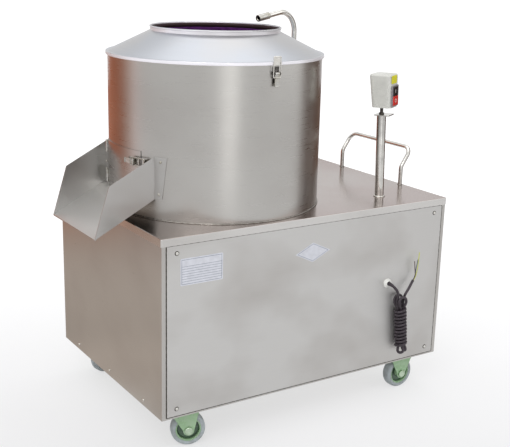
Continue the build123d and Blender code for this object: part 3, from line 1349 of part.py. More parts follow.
def cord_hank():
    """Outer shape of the tied hank: flat loops above, the wrapped part, loop ends below."""
    low = -HANK_LOOP_RISE - HANK_TIE_LENGTH
    shape = rod(HANK_RADIUS, low, -HANK_LOOP_RISE)
    half, deep = HANK_LOOP_WIDTH / 2, HANK_LOOP_DEPTH / 2
    loops = block(-half, half, -deep, deep, -HANK_LOOP_RISE - 1.0, 0.0)
    shape += fillet(loops.edges().filter_by(Axis.Z), deep * 0.8)
    half, deep = HANK_TAIL_WIDTH / 2, HANK_TAIL_DEPTH / 2
    ends = block(-half, half, -deep, deep, low - HANK_LOOP_DROP, low + 1.0)
    shape += fillet(ends.edges().filter_by(Axis.Z), deep * 0.8)
    return Pos(*from_gland(HANK_TOP)) * Rot(0, -HANK_LEAN, 0) * shape


# ------------------------------------------------------------ casters
# In a caster's own frame the plate is centred on the Z axis and the axle runs along Y.

def axle_bolt(x):
    """Axle with a hexagon head and a nut outside the fork legs."""
    shape = Pos(x, 0, WHEEL_RADIUS) * Rot(90, 0, 0) * Cylinder(AXLE_RADIUS, 2 * AXLE_REACH)
    for side in (-1, 1):
        place = Pos(x, side * AXLE_REACH, WHEEL_RADIUS) * Rot(-90 * side, 0, 0)
        shape += place * hexagon(AXLE_HEAD_RADIUS, AXLE_HEAD_HEIGHT)
    return shape


def fork_legs(axle_x, top_z, top_width):
    """Two tapering legs, one on each side of the wheel, bored for the axle."""
    half = top_width / 2
    foot = FORK_FOOT_RADIUS
    outline = make_face(Polyline([
        (-half, 0, top_z),
        (axle_x - foot, 0, WHEEL_RADIUS),
        (axle_x + foot, 0, WHEEL_RADIUS),
        (half, 0, top_z),
    ], close=True))
    plate = extrude(outline, FORK_SHEET, dir=(0, -1, 0))
    round_foot = Pos(axle_x, 0, WHEEL_RADIUS) * Rot(90, 0, 0) * Cylinder(
        foot, FORK_SHEET, align=(Align.CENTER, Align.CENTER, Align.MIN))
    plate += round_foot
    bore = Pos(axle_x, 0, WHEEL_RADIUS) * Rot(90, 0, 0) * Cylinder(AXLE_RADIUS, 4 * FORK_SHEET)
    plate -= bore
    inner = AXLE_REACH - FORK_SHEET
    return Pos(0, -inner, 0) * plate, Pos(0, inner + FORK_SHEET, 0) * plate


def swivel_plate():
    """Mounting plate, upper race and kingpin of a swivel caster."""
    shape = caster_plate()
    race_low = PLATE_UNDER - SWIVEL_RACE_HEIGHT / 2
    shape += rod(SWIVEL_RACE_RADIUS, race_low + FACE_GAP / 2, PLATE_UNDER)
    head_top = BRIDGE_UNDER - FACE_GAP
    shape += rod(KINGPIN_RADIUS, head_top - KINGPIN_HEAD, PLATE_UNDER)
    shape += rod(KINGPIN_HEAD_RADIUS, head_top - KINGPIN_HEAD, head_top)
    return shape


def swivel_fork():
    """Fork of a swivel caster with its lower race; the wheel trails behind the kingpin."""
    legs = fork_legs(-SWIVEL_TRAIL, BRIDGE_UNDER + FORK_BRIDGE, FORK_TOP_WIDTH)
    top = BRIDGE_UNDER + FORK_BRIDGE
    shape = block(-FORK_TOP_WIDTH / 2, FORK_TOP_WIDTH / 2, -AXLE_REACH, AXLE_REACH, BRIDGE_UNDER, top)
    shape += legs[0] + legs[1]
    race_top = top + SWIVEL_RACE_HEIGHT / 2
    shape += rod(SWIVEL_RACE_RADIUS + 3.0, top, race_top - FACE_GAP / 2)
    shape -= rod(KINGPIN_RADIUS + RUNNING_GAP, BRIDGE_UNDER, race_top)
    return shape


def caster_plate():
    shape = block(-CASTER_PLATE_LENGTH / 2, CASTER_PLATE_LENGTH / 2, -CASTER_PLATE_WIDTH / 2,
                  CASTER_PLATE_WIDTH / 2, PLATE_UNDER, PAN_Z)
    shape = fillet(shape.edges().filter_by(Axis.Z), 8.0)
    for x in (-CASTER_BOLT_X / 2, CASTER_BOLT_X / 2):
        for y in (-CASTER_BOLT_Y / 2, CASTER_BOLT_Y / 2):
            shape -= rod(BOLT_RADIUS + SEAT_GAP, PLATE_UNDER, PAN_Z, x, y)
    return shape


def rigid_fork():
    legs = fork_legs(0.0, PLATE_UNDER, RIGID_TOP_WIDTH)
    return caster_plate() + legs[0] + legs[1]


def wheel_hub(x):
    """Disc wheel: a boss on the axle, a web and a rim that carries the tyre."""
    rim = WHEEL_RADIUS - TYRE_DEPTH
    half = HUB_WIDTH / 2
    shape = Cylinder(HUB_RADIUS, HUB_WIDTH) + Cylinder(rim, HUB_DISC)
    shape += Cylinder(rim, WHEEL_WIDTH - 6.0) - Cylinder(rim - HUB_RIM, WHEEL_WIDTH)
    shape -= Cylinder(AXLE_RADIUS + RUNNING_GAP, 2 * half)
    return Pos(x, 0, WHEEL_RADIUS) * Rot(90, 0, 0) * shape


def wheel_tyre(x):
    shape = Cylinder(WHEEL_RADIUS, WHEEL_WIDTH)
    shape = fillet(shape.edges(), TYRE_ROUND)
    shape -= Cylinder(WHEEL_RADIUS - TYRE_DEPTH, WHEEL_WIDTH)
    return Pos(x, 0, WHEEL_RADIUS) * Rot(90, 0, 0) * shape


def casters():
    """Nodes of the four casters, each moved to its own corner of the pan."""
    places = [Pos(x, y, 0) for x, y in caster_places()]
    nodes = {}
    nodes["swivel_plates"] = group([place * swivel_plate() for place in places[:2]])
    for index, place in enumerate(places[:2]):
        turned_place = place * Rot(0, 0, SWIVEL_TURNS[index])
        fork = [turned_place * swivel_fork(), turned_place * axle_bolt(-SWIVEL_TRAIL)]
        nodes[f"swivel_fork_{index + 1}"] = group(fork)
        nodes[f"wheel_hub_{index + 1}"] = turned_place * wheel_hub(-SWIVEL_TRAIL)
        nodes[f"wheel_tyre_{index + 1}"] = turned_place * wheel_tyre(-SWIVEL_TRAIL)
    rigid = []
    for index, place in enumerate(places[2:]):
        rigid += [place * rigid_fork(), place * axle_bolt(0.0)]
        nodes[f"wheel_hub_{index + 3}"] = place * wheel_hub(0.0)
        nodes[f"wheel_tyre_{index + 3}"] = place * wheel_tyre(0.0)
    nodes["rigid_forks"] = group(rigid)
    return nodes


# ------------------------------------------------------------ all the nodes

def all_nodes():
    makers = [
        base_frame, bottom_pan, deck, cabinet_wrap, front_frame, front_panel,
        panel_screws, caster_bolts, drum_shell, abrasive_lining, drum_floor,
        cone_cover, lid_catch, chute, rivets, discharge_door, door_hinge,
        door_hook, water_pipe, pipe_nozzle, pipe_clips, push_handle, switch_post,
        switch_stud, switch_box, switch_bezel, start_button, stop_button,
        nameplate, diamond_plate, cable_gland, cord_lead, cord_hank, cord_tail,
        motor, motor_pulley, drive_belts, shaft_pulley, main_shaft,
        bearing_housing, turntable, drain_spout,
    ]
    nodes = {maker.__name__: maker() for maker in makers}
    for name, place in (("lid_latch", lid_latch_place()), ("door_latch", door_latch_place())):
        nodes[f"{name}_base"] = at_drum(place * latch_base())
        nodes[f"{name}_lever"] = at_drum(place * latch_lever())
        nodes[f"{name}_bail"] = at_drum(place * latch_bail())
    nodes.update(casters())
    return nodes


os.makedirs("parts", exist_ok=True)
for node, solid in all_nodes().items():
    export_step(solid, f"parts/{node}.step")
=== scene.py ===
"""Electric potato peeler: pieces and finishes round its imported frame.

Metres, in the frame's own axes: +X towards the push handle, +Y towards the back, +Z up.
Each operator makes one group of pieces; main() calls them in order.
"""
import json

import bmesh
import bpy
import numpy as np
from bpy.props import FloatProperty, FloatVectorProperty, PointerProperty
from bpy.types import Operator, Panel, PropertyGroup
from mathutils import Matrix, Vector


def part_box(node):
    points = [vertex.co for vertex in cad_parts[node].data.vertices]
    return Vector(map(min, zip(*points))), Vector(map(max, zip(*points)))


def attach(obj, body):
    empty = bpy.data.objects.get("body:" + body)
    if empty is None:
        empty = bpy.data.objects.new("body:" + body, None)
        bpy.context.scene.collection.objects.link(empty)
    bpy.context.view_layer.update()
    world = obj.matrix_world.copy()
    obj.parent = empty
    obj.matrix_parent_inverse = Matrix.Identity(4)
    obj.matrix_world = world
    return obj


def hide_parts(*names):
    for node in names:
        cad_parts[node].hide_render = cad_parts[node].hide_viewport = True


bl_info = {
    "name": "Electric potato peeler",
    "version": (1, 0, 0),
    "blender": (4, 5, 0),
    "location": "View3D > Sidebar > Peeler",
    "description": "Builds the pieces and finishes of an electric potato peeler",
    "category": "Object",
}

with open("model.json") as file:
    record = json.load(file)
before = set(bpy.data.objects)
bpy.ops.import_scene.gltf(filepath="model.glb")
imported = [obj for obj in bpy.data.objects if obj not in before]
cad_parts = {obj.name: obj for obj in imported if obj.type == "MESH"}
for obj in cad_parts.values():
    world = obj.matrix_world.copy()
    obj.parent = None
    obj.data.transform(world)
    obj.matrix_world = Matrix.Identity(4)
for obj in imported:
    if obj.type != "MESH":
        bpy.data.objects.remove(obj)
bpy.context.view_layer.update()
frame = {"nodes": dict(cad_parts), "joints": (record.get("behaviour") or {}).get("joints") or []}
MM = 0.001
OUT = (0, -1, 0)                # away from the front panel
VIEWED = (0.5417, 0.8406, 0)    # away from the camera, level


# --- sizes and colours

def linear(code):
    """An sRGB hex colour as linear red, green and blue."""
    value = np.array([int(code[i:i + 2], 16) for i in (0, 2, 4)]) / 255
    value = np.where(value <= 0.04045, value / 12.92, ((value + 0.055) / 1.055) ** 2.4)
    return tuple(float(channel) for channel in value)


def colour_of(name, description, code):
    return FloatVectorProperty(
        name=name, description=description, default=linear(code), subtype="COLOR", min=0,
        max=1, size=3)


def size_of(name, description, metres):
    return FloatProperty(
        name=name, description=description, default=metres, min=0, unit="LENGTH",
        subtype="DISTANCE", precision=4)


class PeelerSizes(PropertyGroup):
    """Sizes of the pieces that are made here."""
    cord: size_of("Cord thickness", "Outside of the round rubber cord", 0.0085)
    wrap: size_of("Wrap radius", "Middle of the cord where it is wound round the hank", 0.0164)
    wrap_pitch: size_of("Wrap pitch", "Step from one turn of the hank to the next", 0.0113)
    conductor: size_of("Conductor thickness", "Insulated core at the cord's bare end", 0.0026)
    sleeve: size_of("Sleeve length", "Tapered sleeve where the cord leaves the gland", 0.02)
    weld: size_of("Weld width", "Bead that joins the drum to the deck", 0.004)
    weld_ripple: size_of("Weld ripple", "Step between two ripples of a weld bead", 0.004)
    dish: size_of("Button dish", "Depth of the finger dish in a push button", 0.0012)
    # The sealant bead is a dark bead of painted shade in the gap round the front panel.
    tread: size_of("Tread groove", "Depth of the grooves in a caster tyre", 0.0008)
    mouth: size_of("Mouth radius", "Inside of the collar at the mouth of the cover", 0.189)
    sealant: size_of("Sealant width", "Bead of sealant round the front panel", 0.0026)
    axle: size_of("Axle cap reach", "Middle of a caster to the outside of its fork", 0.0226)
    sticker: size_of("Sticker thickness", "Plain film sticker on the switch box", 0.0003)


class PeelerColours(PropertyGroup):
    """Colours of the finishes."""
    steel: colour_of("Sheet steel", "Brushed stainless sheet", "BBB9B5")
    steel_dull: colour_of("Dulled steel", "Handled areas of the sheet", "AFABA7")
    tube: colour_of("Tube steel", "Polished stainless tube", "D6D4CF")
    zinc: colour_of("Zinc plate", "Screws, latches and bolts", "BDBCB8")
    enamel: colour_of("Caster enamel", "Pale green enamel of the casters", "9CBF95")
    tyre: colour_of("Tyre rubber", "Grey non-marking tyres", "B1B9BD")
    box: colour_of("Switch box", "Grey-white moulded switch box", "D3D3CD")
    black: colour_of("Black plastic", "Start button", "1D1B1C")
    red: colour_of("Red plastic", "Stop button", "D3291F")
    cord: colour_of("Cord rubber", "Sheath of the supply cord", "322B31")
    grit: colour_of("Grit", "Silicon carbide lining of the drum", "5B2C6E")
    foil: colour_of("Plate foil", "Blank plates on the front panel", "DADCE4")
    yellow: colour_of("Yellow film", "Blank sticker on the switch box", "E9E43C")


def sizes():
    return bpy.context.scene.peeler_sizes


def toned(code, share=1):
    """One of the add-on's colours or a hex value, lighter or darker, with its alpha."""
    colours = bpy.context.scene.peeler_colours
    tone = getattr(colours, code) if hasattr(colours, code) else linear(code)
    return (*(min(1, share * channel) for channel in tone), 1)


# --- meshes

def grid(points, wrap_rows=False, wrap_columns=False):
    """A (points, faces) pair: the quads of a grid of points.

    A wrapped side joins its last line to its first.
    """
    rows, columns = points.shape[:2]
    i = np.arange(rows if wrap_rows else rows - 1)
    j = np.arange(columns if wrap_columns else columns - 1)
    i, j = (side.ravel() for side in np.meshgrid(i, j, indexing="ij"))
    k, m = (i + 1) % rows, (j + 1) % columns
    faces = [i * columns + j, k * columns + j, k * columns + m, i * columns + m]
    return points.reshape(-1, 3), np.stack(faces, 1)


def mesh_of(name, parts, finish):
    """One mesh from (points, faces) pairs."""
    points, faces, start = [], [], 0
    for part_points, part_faces in parts:
        points.append(part_points)
        faces.append(part_faces + start)
        start += len(part_points)
    mesh = bpy.data.meshes.new(name)
    mesh.from_pydata(np.concatenate(points).tolist(), [], np.concatenate(faces).tolist())
    mesh.materials.append(finish_of(finish))
    return mesh


def placed(name, data):
    """A new object in the scene."""
    made = bpy.data.objects.new(name, data)
    bpy.context.scene.collection.objects.link(made)
    return made


def piece(name, parts, finish, body="machine", smooth=True):
    """One visible piece, riding on a body, of (points, faces) pairs.

    Doubled points are merged, and every face is turned outward.
    """
    mesh = mesh_of(name, parts, finish)
    mesh.validate()
    mesh.polygons.foreach_set("use_smooth", np.full(len(mesh.polygons), smooth))
    work = bmesh.new()
    work.from_mesh(mesh)
    bmesh.ops.remove_doubles(work, verts=work.verts, dist=1e-6)
    bmesh.ops.recalc_face_normals(work, faces=work.faces)
    work.to_mesh(mesh)
    work.free()
    made = placed(name, mesh)
    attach(made, body)
    return made


def around(count):
    """count angles of a full turn."""
    return np.linspace(0, 2 * np.pi, count, endpoint=False)


def unit(vectors):
    """The same directions at length one."""
    return vectors / np.linalg.norm(vectors, axis=-1, keepdims=True)


def axes_of(direction):
    """Two unit vectors square to a direction, and the direction itself."""
    along = unit(np.asarray(direction, float))
    across = unit(np.cross((0, 0, 1) if abs(along[2]) < 0.9 else (1, 0, 0), along))
    return across, np.cross(along, across), along


def ringed(path, radii, sides, u, v):
    """Rings round a path: point = path + radius * (cos t * u + sin t * v)."""
    t = around(sides)[:, None]
    return path[:, None] + radii[:, None, None] * (
        np.cos(t) * u[..., None, :] + np.sin(t) * v[..., None, :])


def turned(profile, centre, direction, steps=96):
    """A closed profile of (distance along, radius) pairs turned about an axis.

    point = centre + along * a + radius * (cos t * u + sin t * v)
    """
    u, v, along = axes_of(direction)
    profile = np.asarray(profile, float)
    t = around(steps)[:, None]
    ring = np.cos(t) * u + np.sin(t) * v
    points = (np.asarray(centre) + profile[None, :, 0, None] * along
              + profile[None, :, 1, None] * ring[:, None, :])
    return grid(points, True, True)


def swept(path, radii, sides):
    """A round tube along a path, its rings turning as little as they can.

    Each end closes in one point.
    """
    tangents = unit(np.gradient(path, axis=0))
    u = [axes_of(tangents[0])[0]]
    for tangent in tangents[1:]:
        u.append(unit(u[-1] - tangent * (u[-1] @ tangent)))
    u = np.array(u)
    k = np.r_[0, np.arange(len(path)), len(path) - 1]
    rings = ringed(path[k], np.r_[0, radii, 0], sides, u[k], np.cross(tangents, u)[k])
    return grid(rings, False, True)


def bead(path, width, ripple, up=(0, 0, 1), swell=0.16):
    """A closed bead on a flat path: radius = width / 2 * (1 + swell * |sin(pi run / ripple)|).

    Its rings stand on up and on the direction that points away in the path's plane.
    """
    out = np.cross(unit(np.roll(path, -1, 0) - np.roll(path, 1, 0)), up)
    run = np.linalg.norm(path[1] - path[0]) * np.arange(len(path))
    radii = 0.5 * width * (1 + swell * np.abs(np.sin(np.pi * run / ripple)))
    return grid(ringed(path, radii, 8, out, np.array(up)), True, True)


def circle(centre, radius, count, height):
    """count points of a level circle, at a height over its centre."""
    t = around(count)
    ring = np.stack([radius * np.cos(t), radius * np.sin(t), np.full(count, height)], 1)
    return np.asarray(centre, float) + ring


def moved(part, matrix):
    """A (points, faces) pair in another place."""
    points, faces = part
    matrix = np.array(matrix)
    return points @ matrix[:3, :3].T + matrix[:3, 3], faces


# --- the frame

def node_box(name):
    """The low and the high corner of a node's box."""
    return np.array(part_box(name))


def points_of(mesh):
    """A mesh's vertices as rows of x, y, z."""
    points = np.zeros(len(mesh.vertices) * 3)
    mesh.vertices.foreach_get("co", points)
    return points.reshape(-1, 3)


def node_points(name):
    return points_of(frame["nodes"][name].data)


def joint_of(body):
    """Place and axis of the joint that carries a body."""
    joint = next(joint for joint in frame["joints"] if joint["child"] == body)
    return np.array(joint["pos_m"], float), np.array(joint["axis"], float)


def dress(finish, *names):
    """Give nodes of the frame their finish."""
    for name in names:
        held = frame["nodes"][name].data.materials
        held.clear()
        held.append(finish_of(finish))


# --- materials

def add(tree, kind, inputs=None, **settings):
    """Add a shader node with its settings. An input that is a socket, or a node, is linked.

    A node stands for the first of its outputs that is in use.
    """
    node = tree.nodes.new(f"ShaderNode{kind}")
    for key, value in settings.items():
        setattr(node, key, value)
    for key, value in (inputs or {}).items():
        if isinstance(value, bpy.types.Node):
            value = next(socket for socket in value.outputs if socket.enabled)
        if isinstance(value, bpy.types.NodeSocket):
            tree.links.new(value, node.inputs[key])
        else:
            node.inputs[key].default_value = value
    return node


def new_finish(name):
    """A material with only its object coordinates, and these."""
    made = bpy.data.materials.new(name)
    made.use_nodes = True
    made.node_tree.nodes.clear()
    place = add(made.node_tree, "TexCoord").outputs["Object"]
    return made, place


def pattern(place, scale, detail=3, low=0.35, high=0.65, to=(0, 1)):
    """Noise on stretched coordinates, spread from low..high over a wanted range."""
    tree = place.id_data
    held = add(tree, "Mapping", {"Vector": place, "Scale": scale})
    grain = add(tree, "TexNoise", {"Vector": held, "Scale": 1, "Detail": detail})
    return add(tree, "MapRange", {
        "Value": grain, "From Min": low, "From Max": high, "To Min": to[0], "To Max": to[1]})


def surface(made, mask, tones, rough, relief, inputs=None, dulled_by=None):
    """Close a material with its Principled shader.

    tones: colour where the mask is 0 and where it is 1. rough: roughness at the same two
    ends, of the mask or of dulled_by. relief: (pattern, metres, strength), each on the last.
    """
    tree = made.node_tree
    tone = add(tree, "Mix", {0: mask, 6: tones[0], 7: tones[1]}, data_type="RGBA")
    dull = add(tree, "MapRange", {
        "Value": dulled_by or mask, "To Min": rough[0], "To Max": rough[1]})
    sockets = {"Base Color": tone, "Roughness": dull}
    for height, metres, strength in relief:
        under = {"Normal": sockets["Normal"]} if "Normal" in sockets else {}
        sockets["Normal"] = add(tree, "Bump", {
            "Height": height, "Distance": metres, "Strength": strength, **under})
    shader = add(tree, "BsdfPrincipled", {**sockets, **(inputs or {})})
    add(tree, "OutputMaterial", {"Surface": shader})
    return made


def brushed_sheet(name, grain, waves, rough=(0.27, 0.33), tint="steel", brushing=0.45,
                  painted_highlight_tint=None, painted_highlight_metal=1):
    """Cold-rolled stainless sheet, brushed: fine lines one way, slow waves, dull smears.

    The brush lines are about 0.3 mm apart and are drawn 3 mm wide so that they show. The edge
    tint is a painted highlight: the upright faces are painted in it, brighter than the flat,
    and the edge metal is how much of the metal's mirror is left on them.
    """
    made, place = new_finish(name)
    tree = made.node_tree
    bright, metal = toned(tint), 1
    # Upright faces take the edge tint, a painted highlight, and less metal.
    if painted_highlight_tint:
        facing = add(tree, "NewGeometry").outputs["True Normal"]
        rise = add(tree, "SeparateXYZ", {"Vector": facing}).outputs["Z"]
        flat = add(tree, "MapRange", {"Value": rise, "From Min": 0.3, "From Max": 0.7})
        bright = add(tree, "Mix", {0: flat, 6: toned(painted_highlight_tint), 7: bright}, data_type="RGBA")
        if painted_highlight_metal < 1:
            metal = add(tree, "MapRange", {"Value": flat, "To Min": painted_highlight_metal})
    lines = pattern(place, grain, 2, 0.2, 0.8)
    smear = pattern(place, (3.1, 3.1, 4.3), 3, 0.45, 0.85)
    slow = pattern(place, waves, 1, 0.3, 0.7)
    return surface(made, smear, (bright, toned("steel_dull")), rough,
                   [(slow, 0.0022, 0.3), (lines, 0.00003, 0.1)],
                   {"Metallic": metal, "Anisotropic": brushing}, lines)


def polished_tube(name):
    """Stainless tube, belt polished: bright, with faint rings round it and thumb marks."""
    made, place = new_finish(name)
    marks = pattern(place, (23, 23, 31), 4, 0.4, 0.7)
    rings = pattern(place, (60, 60, 420), 3)
    return surface(made, marks, (toned("tube"), toned("steel")), (0.1, 0.21),
                   [(rings, 0.00003, 0.3)], {"Metallic": 1})


def zinc_plate(name, bright="zinc", cloudy="A8A498"):
    """Bright zinc plate: slightly cloudy, a little yellow where the passivation is thick."""
    made, place = new_finish(name)
    clouds = pattern(place, (90, 90, 90), 5)
    return surface(made, clouds, (toned(bright), toned(cloudy)), (0.22, 0.42),
                   [(clouds, 0.00005, 0.4)], {"Metallic": 1})


def enamel(name, colour, worn):
    """Sprayed enamel on steel: glossy orange peel, dull dust and small worn spots."""
    made, place = new_finish(name)
    tree = made.node_tree
    dust = pattern(place, (40, 40, 55), 5, 0.45, 0.75)
    chips = pattern(place, (260, 260, 260), 3, 0.7, 0.74)
    peel = pattern(place, (300, 300, 300), 1)
    paint = add(tree, "Mix", {0: dust, 6: toned(colour), 7: toned(worn)}, data_type="RGBA")
    return surface(made, chips, (paint, toned("7C7D76")), (0.26, 0.52),
                   [(peel, 0.00008, 0.35)], {"Coat Weight": 0.35, "Coat Roughness": 0.12}, dust)


def rubber(name, colour, dusty, rough=(0.55, 0.85), coarse=700, metres=0.00012):
    """Moulded or extruded rubber: matt, with dust in its pores."""
    made, place = new_finish(name)
    dust = pattern(place, (55, 55, 55), 6, 0.4, 0.72)
    pores = pattern(place, (coarse, coarse, coarse), 2)
    return surface(made, dust, (toned(colour), toned(dusty)), rough,
                   [(pores, metres, 0.5)], {"Specular IOR Level": 0.35})


def moulded(name, colour, rough=0.38):
    """Injection-moulded plastic: fine spark-eroded skin, faint handling marks."""
    made, place = new_finish(name)
    marks = pattern(place, (28, 28, 36), 5, 0.42, 0.75)
    skin = pattern(place, (1100, 1100, 1100), 1)
    return surface(made, marks, (toned(colour), toned(colour, 0.86)),
                   (rough, rough + 0.16), [(skin, 0.00006, 0.5)], {"IOR": 1.52})


def grit_coat(name, colour, grain):
    """Bonded silicon carbide grit: sharp dark grains that glint where a face catches light."""
    made, place = new_finish(name)
    tree = made.node_tree
    cells = add(tree, "TexVoronoi", {"Vector": place, "Scale": 1 / grain}, feature="F1")
    shade = add(tree, "MapRange", {"Value": cells, "From Max": 0.8})
    glint = add(tree, "SeparateColor", {"Color": cells.outputs["Color"]})
    return surface(made, shade, (toned(colour, 2.4), toned(colour)), (0.25, 0.75),
                   [(shade, -0.0007, 0.9)], dulled_by=glint)


def cast_metal(name, colour):
    """Sand-cast iron: coarse skin, dark in the hollows."""
    made, place = new_finish(name)
    skin = pattern(place, (420, 420, 420), 4)
    return surface(made, skin, (toned(colour, 0.55), toned(colour)), (0.62, 0.5),
                   [(skin, 0.0004, 0.6)], {"Metallic": 0.6})


# Half widths of the foil's border and rules, and the table's share of its half height.
BORDER_LINE, RULE_LINE, TABLE_SHARE = 0.0006, 0.0005, 1.44


def ruled_foil(name, node, rows, border, slant):
    """Pale printed foil, left blank: a dark border line and, on a table, empty ruled rows.

    The border keeps a distance from the plate's straight or slanted edges; a row's line lies
    wherever the height above the lower border is a whole number of rows.
    """
    made, place = new_finish(name)
    tree = made.node_tree
    low, high = node_box(node)
    half = (high - low) / 2
    away = add(tree, "VectorMath", {0: place, 1: (low + high) / 2}, operation="SUBTRACT")
    away = add(tree, "VectorMath", {0: away}, operation="ABSOLUTE")
    inset = add(tree, "VectorMath", {0: half, 1: away}, operation="SUBTRACT")
    if slant:
        reach = half[0] * half[2] / np.hypot(half[0], half[2])
        border += reach
        edge = add(tree, "VectorMath", {
            0: inset, 1: (reach / half[0], 0, reach / half[2])}, operation="DOT_PRODUCT")
    else:
        sides = add(tree, "SeparateXYZ", {"Vector": inset}).outputs
        edge = add(tree, "Math", {0: sides["X"], 1: sides["Z"]}, operation="MINIMUM")
    line = add(tree, "Math", {0: edge, 1: border, 2: BORDER_LINE}, operation="COMPARE")
    if rows:
        pitch = TABLE_SHARE * (half[2] - border) / rows
        height = add(tree, "SeparateXYZ", {"Vector": place}).outputs["Z"]
        rise = add(tree, "Math", {0: height, 1: low[2] + border}, operation="SUBTRACT")
        gap = add(tree, "Math", {0: rise, 1: pitch / 2}, operation="PINGPONG")
        rule = add(tree, "Math", {0: gap, 1: RULE_LINE}, operation="LESS_THAN")
        table = add(tree, "Math", {0: rise, 1: pitch * (rows + 0.5)}, operation="LESS_THAN")
        inside = add(tree, "Math", {0: edge, 1: border}, operation="GREATER_THAN")
        table = add(tree, "Math", {0: table, 1: inside}, operation="MULTIPLY")
        rule = add(tree, "Math", {0: rule, 1: table}, operation="MULTIPLY")
        line = add(tree, "Math", {0: line, 1: rule}, operation="MAXIMUM")
    cloud = pattern(place, (60, 60, 60), 4)
    foil = add(tree, "Mix", {0: cloud, 6: toned("foil"), 7: toned("foil", 0.88)}, data_type="RGBA")
    return surface(made, line, (foil, toned("7D8496")), (0.31, 0.4),
                   [(cloud, 0.00004, 0.3)], {"Metallic": 0.15}, cloud)


def seen_rays(tree):
    """1 for camera, glossy and transmission rays, else 0."""
    path = add(tree, "LightPath").outputs
    seen = add(tree, "Math", {0: path["Is Camera Ray"], 1: path["Is Glossy Ray"]},
               operation="MAXIMUM")
    return add(tree, "Math", {0: seen, 1: path["Is Transmission Ray"]}, operation="MAXIMUM")


def white_paper(name):
    """White paper: for the eye mostly its own white, so that only a soft shadow is left."""
    made, place = new_finish(name)
    tree = made.node_tree
    tone = pattern(place, (1.3, 1.3, 1.3), 2)
    tones = {6: (0.8, 0.8, 0.81, 1), 7: (0.76, 0.76, 0.77, 1)}
    paper = add(tree, "Mix", {0: tone, **tones}, data_type="RGBA")
    # Glow rises with the distance from the camera along the floor: painted shade, darker on the
    # near floor and round the machine.
    away = add(tree, "VectorMath", {0: place, 1: VIEWED}, operation="DOT_PRODUCT")
    level = add(tree, "MapRange", {
        "Value": away, "From Min": -0.5, "From Max": 2.5, "To Min": 0.56, "To Max": 0.94})
    shade = add(tree, "BsdfDiffuse", {"Color": (0.34, 0.34, 0.35, 1)})
    glow = add(tree, "Emission", {"Color": (1, 1, 1, 1), "Strength": level})
    eye = add(tree, "AddShader", {0: shade, 1: glow})
    plain = add(tree, "BsdfDiffuse", {"Color": paper})
    both = add(tree, "MixShader", {0: seen_rays(tree), 1: plain, 2: eye})
    add(tree, "OutputMaterial", {"Surface": both})
    return made


def lit_cloth(name):
    """Glowing cloth with the mesh's own tone, a little uneven."""
    made, place = new_finish(name)
    tree = made.node_tree
    brown = add(tree, "Attribute", attribute_name="tone")
    level = pattern(place, (2, 2, 3), 2, to=(0.85, 1.1))
    glow = add(tree, "Emission", {"Color": brown, "Strength": level})
    add(tree, "OutputMaterial", {"Surface": glow})
    return made


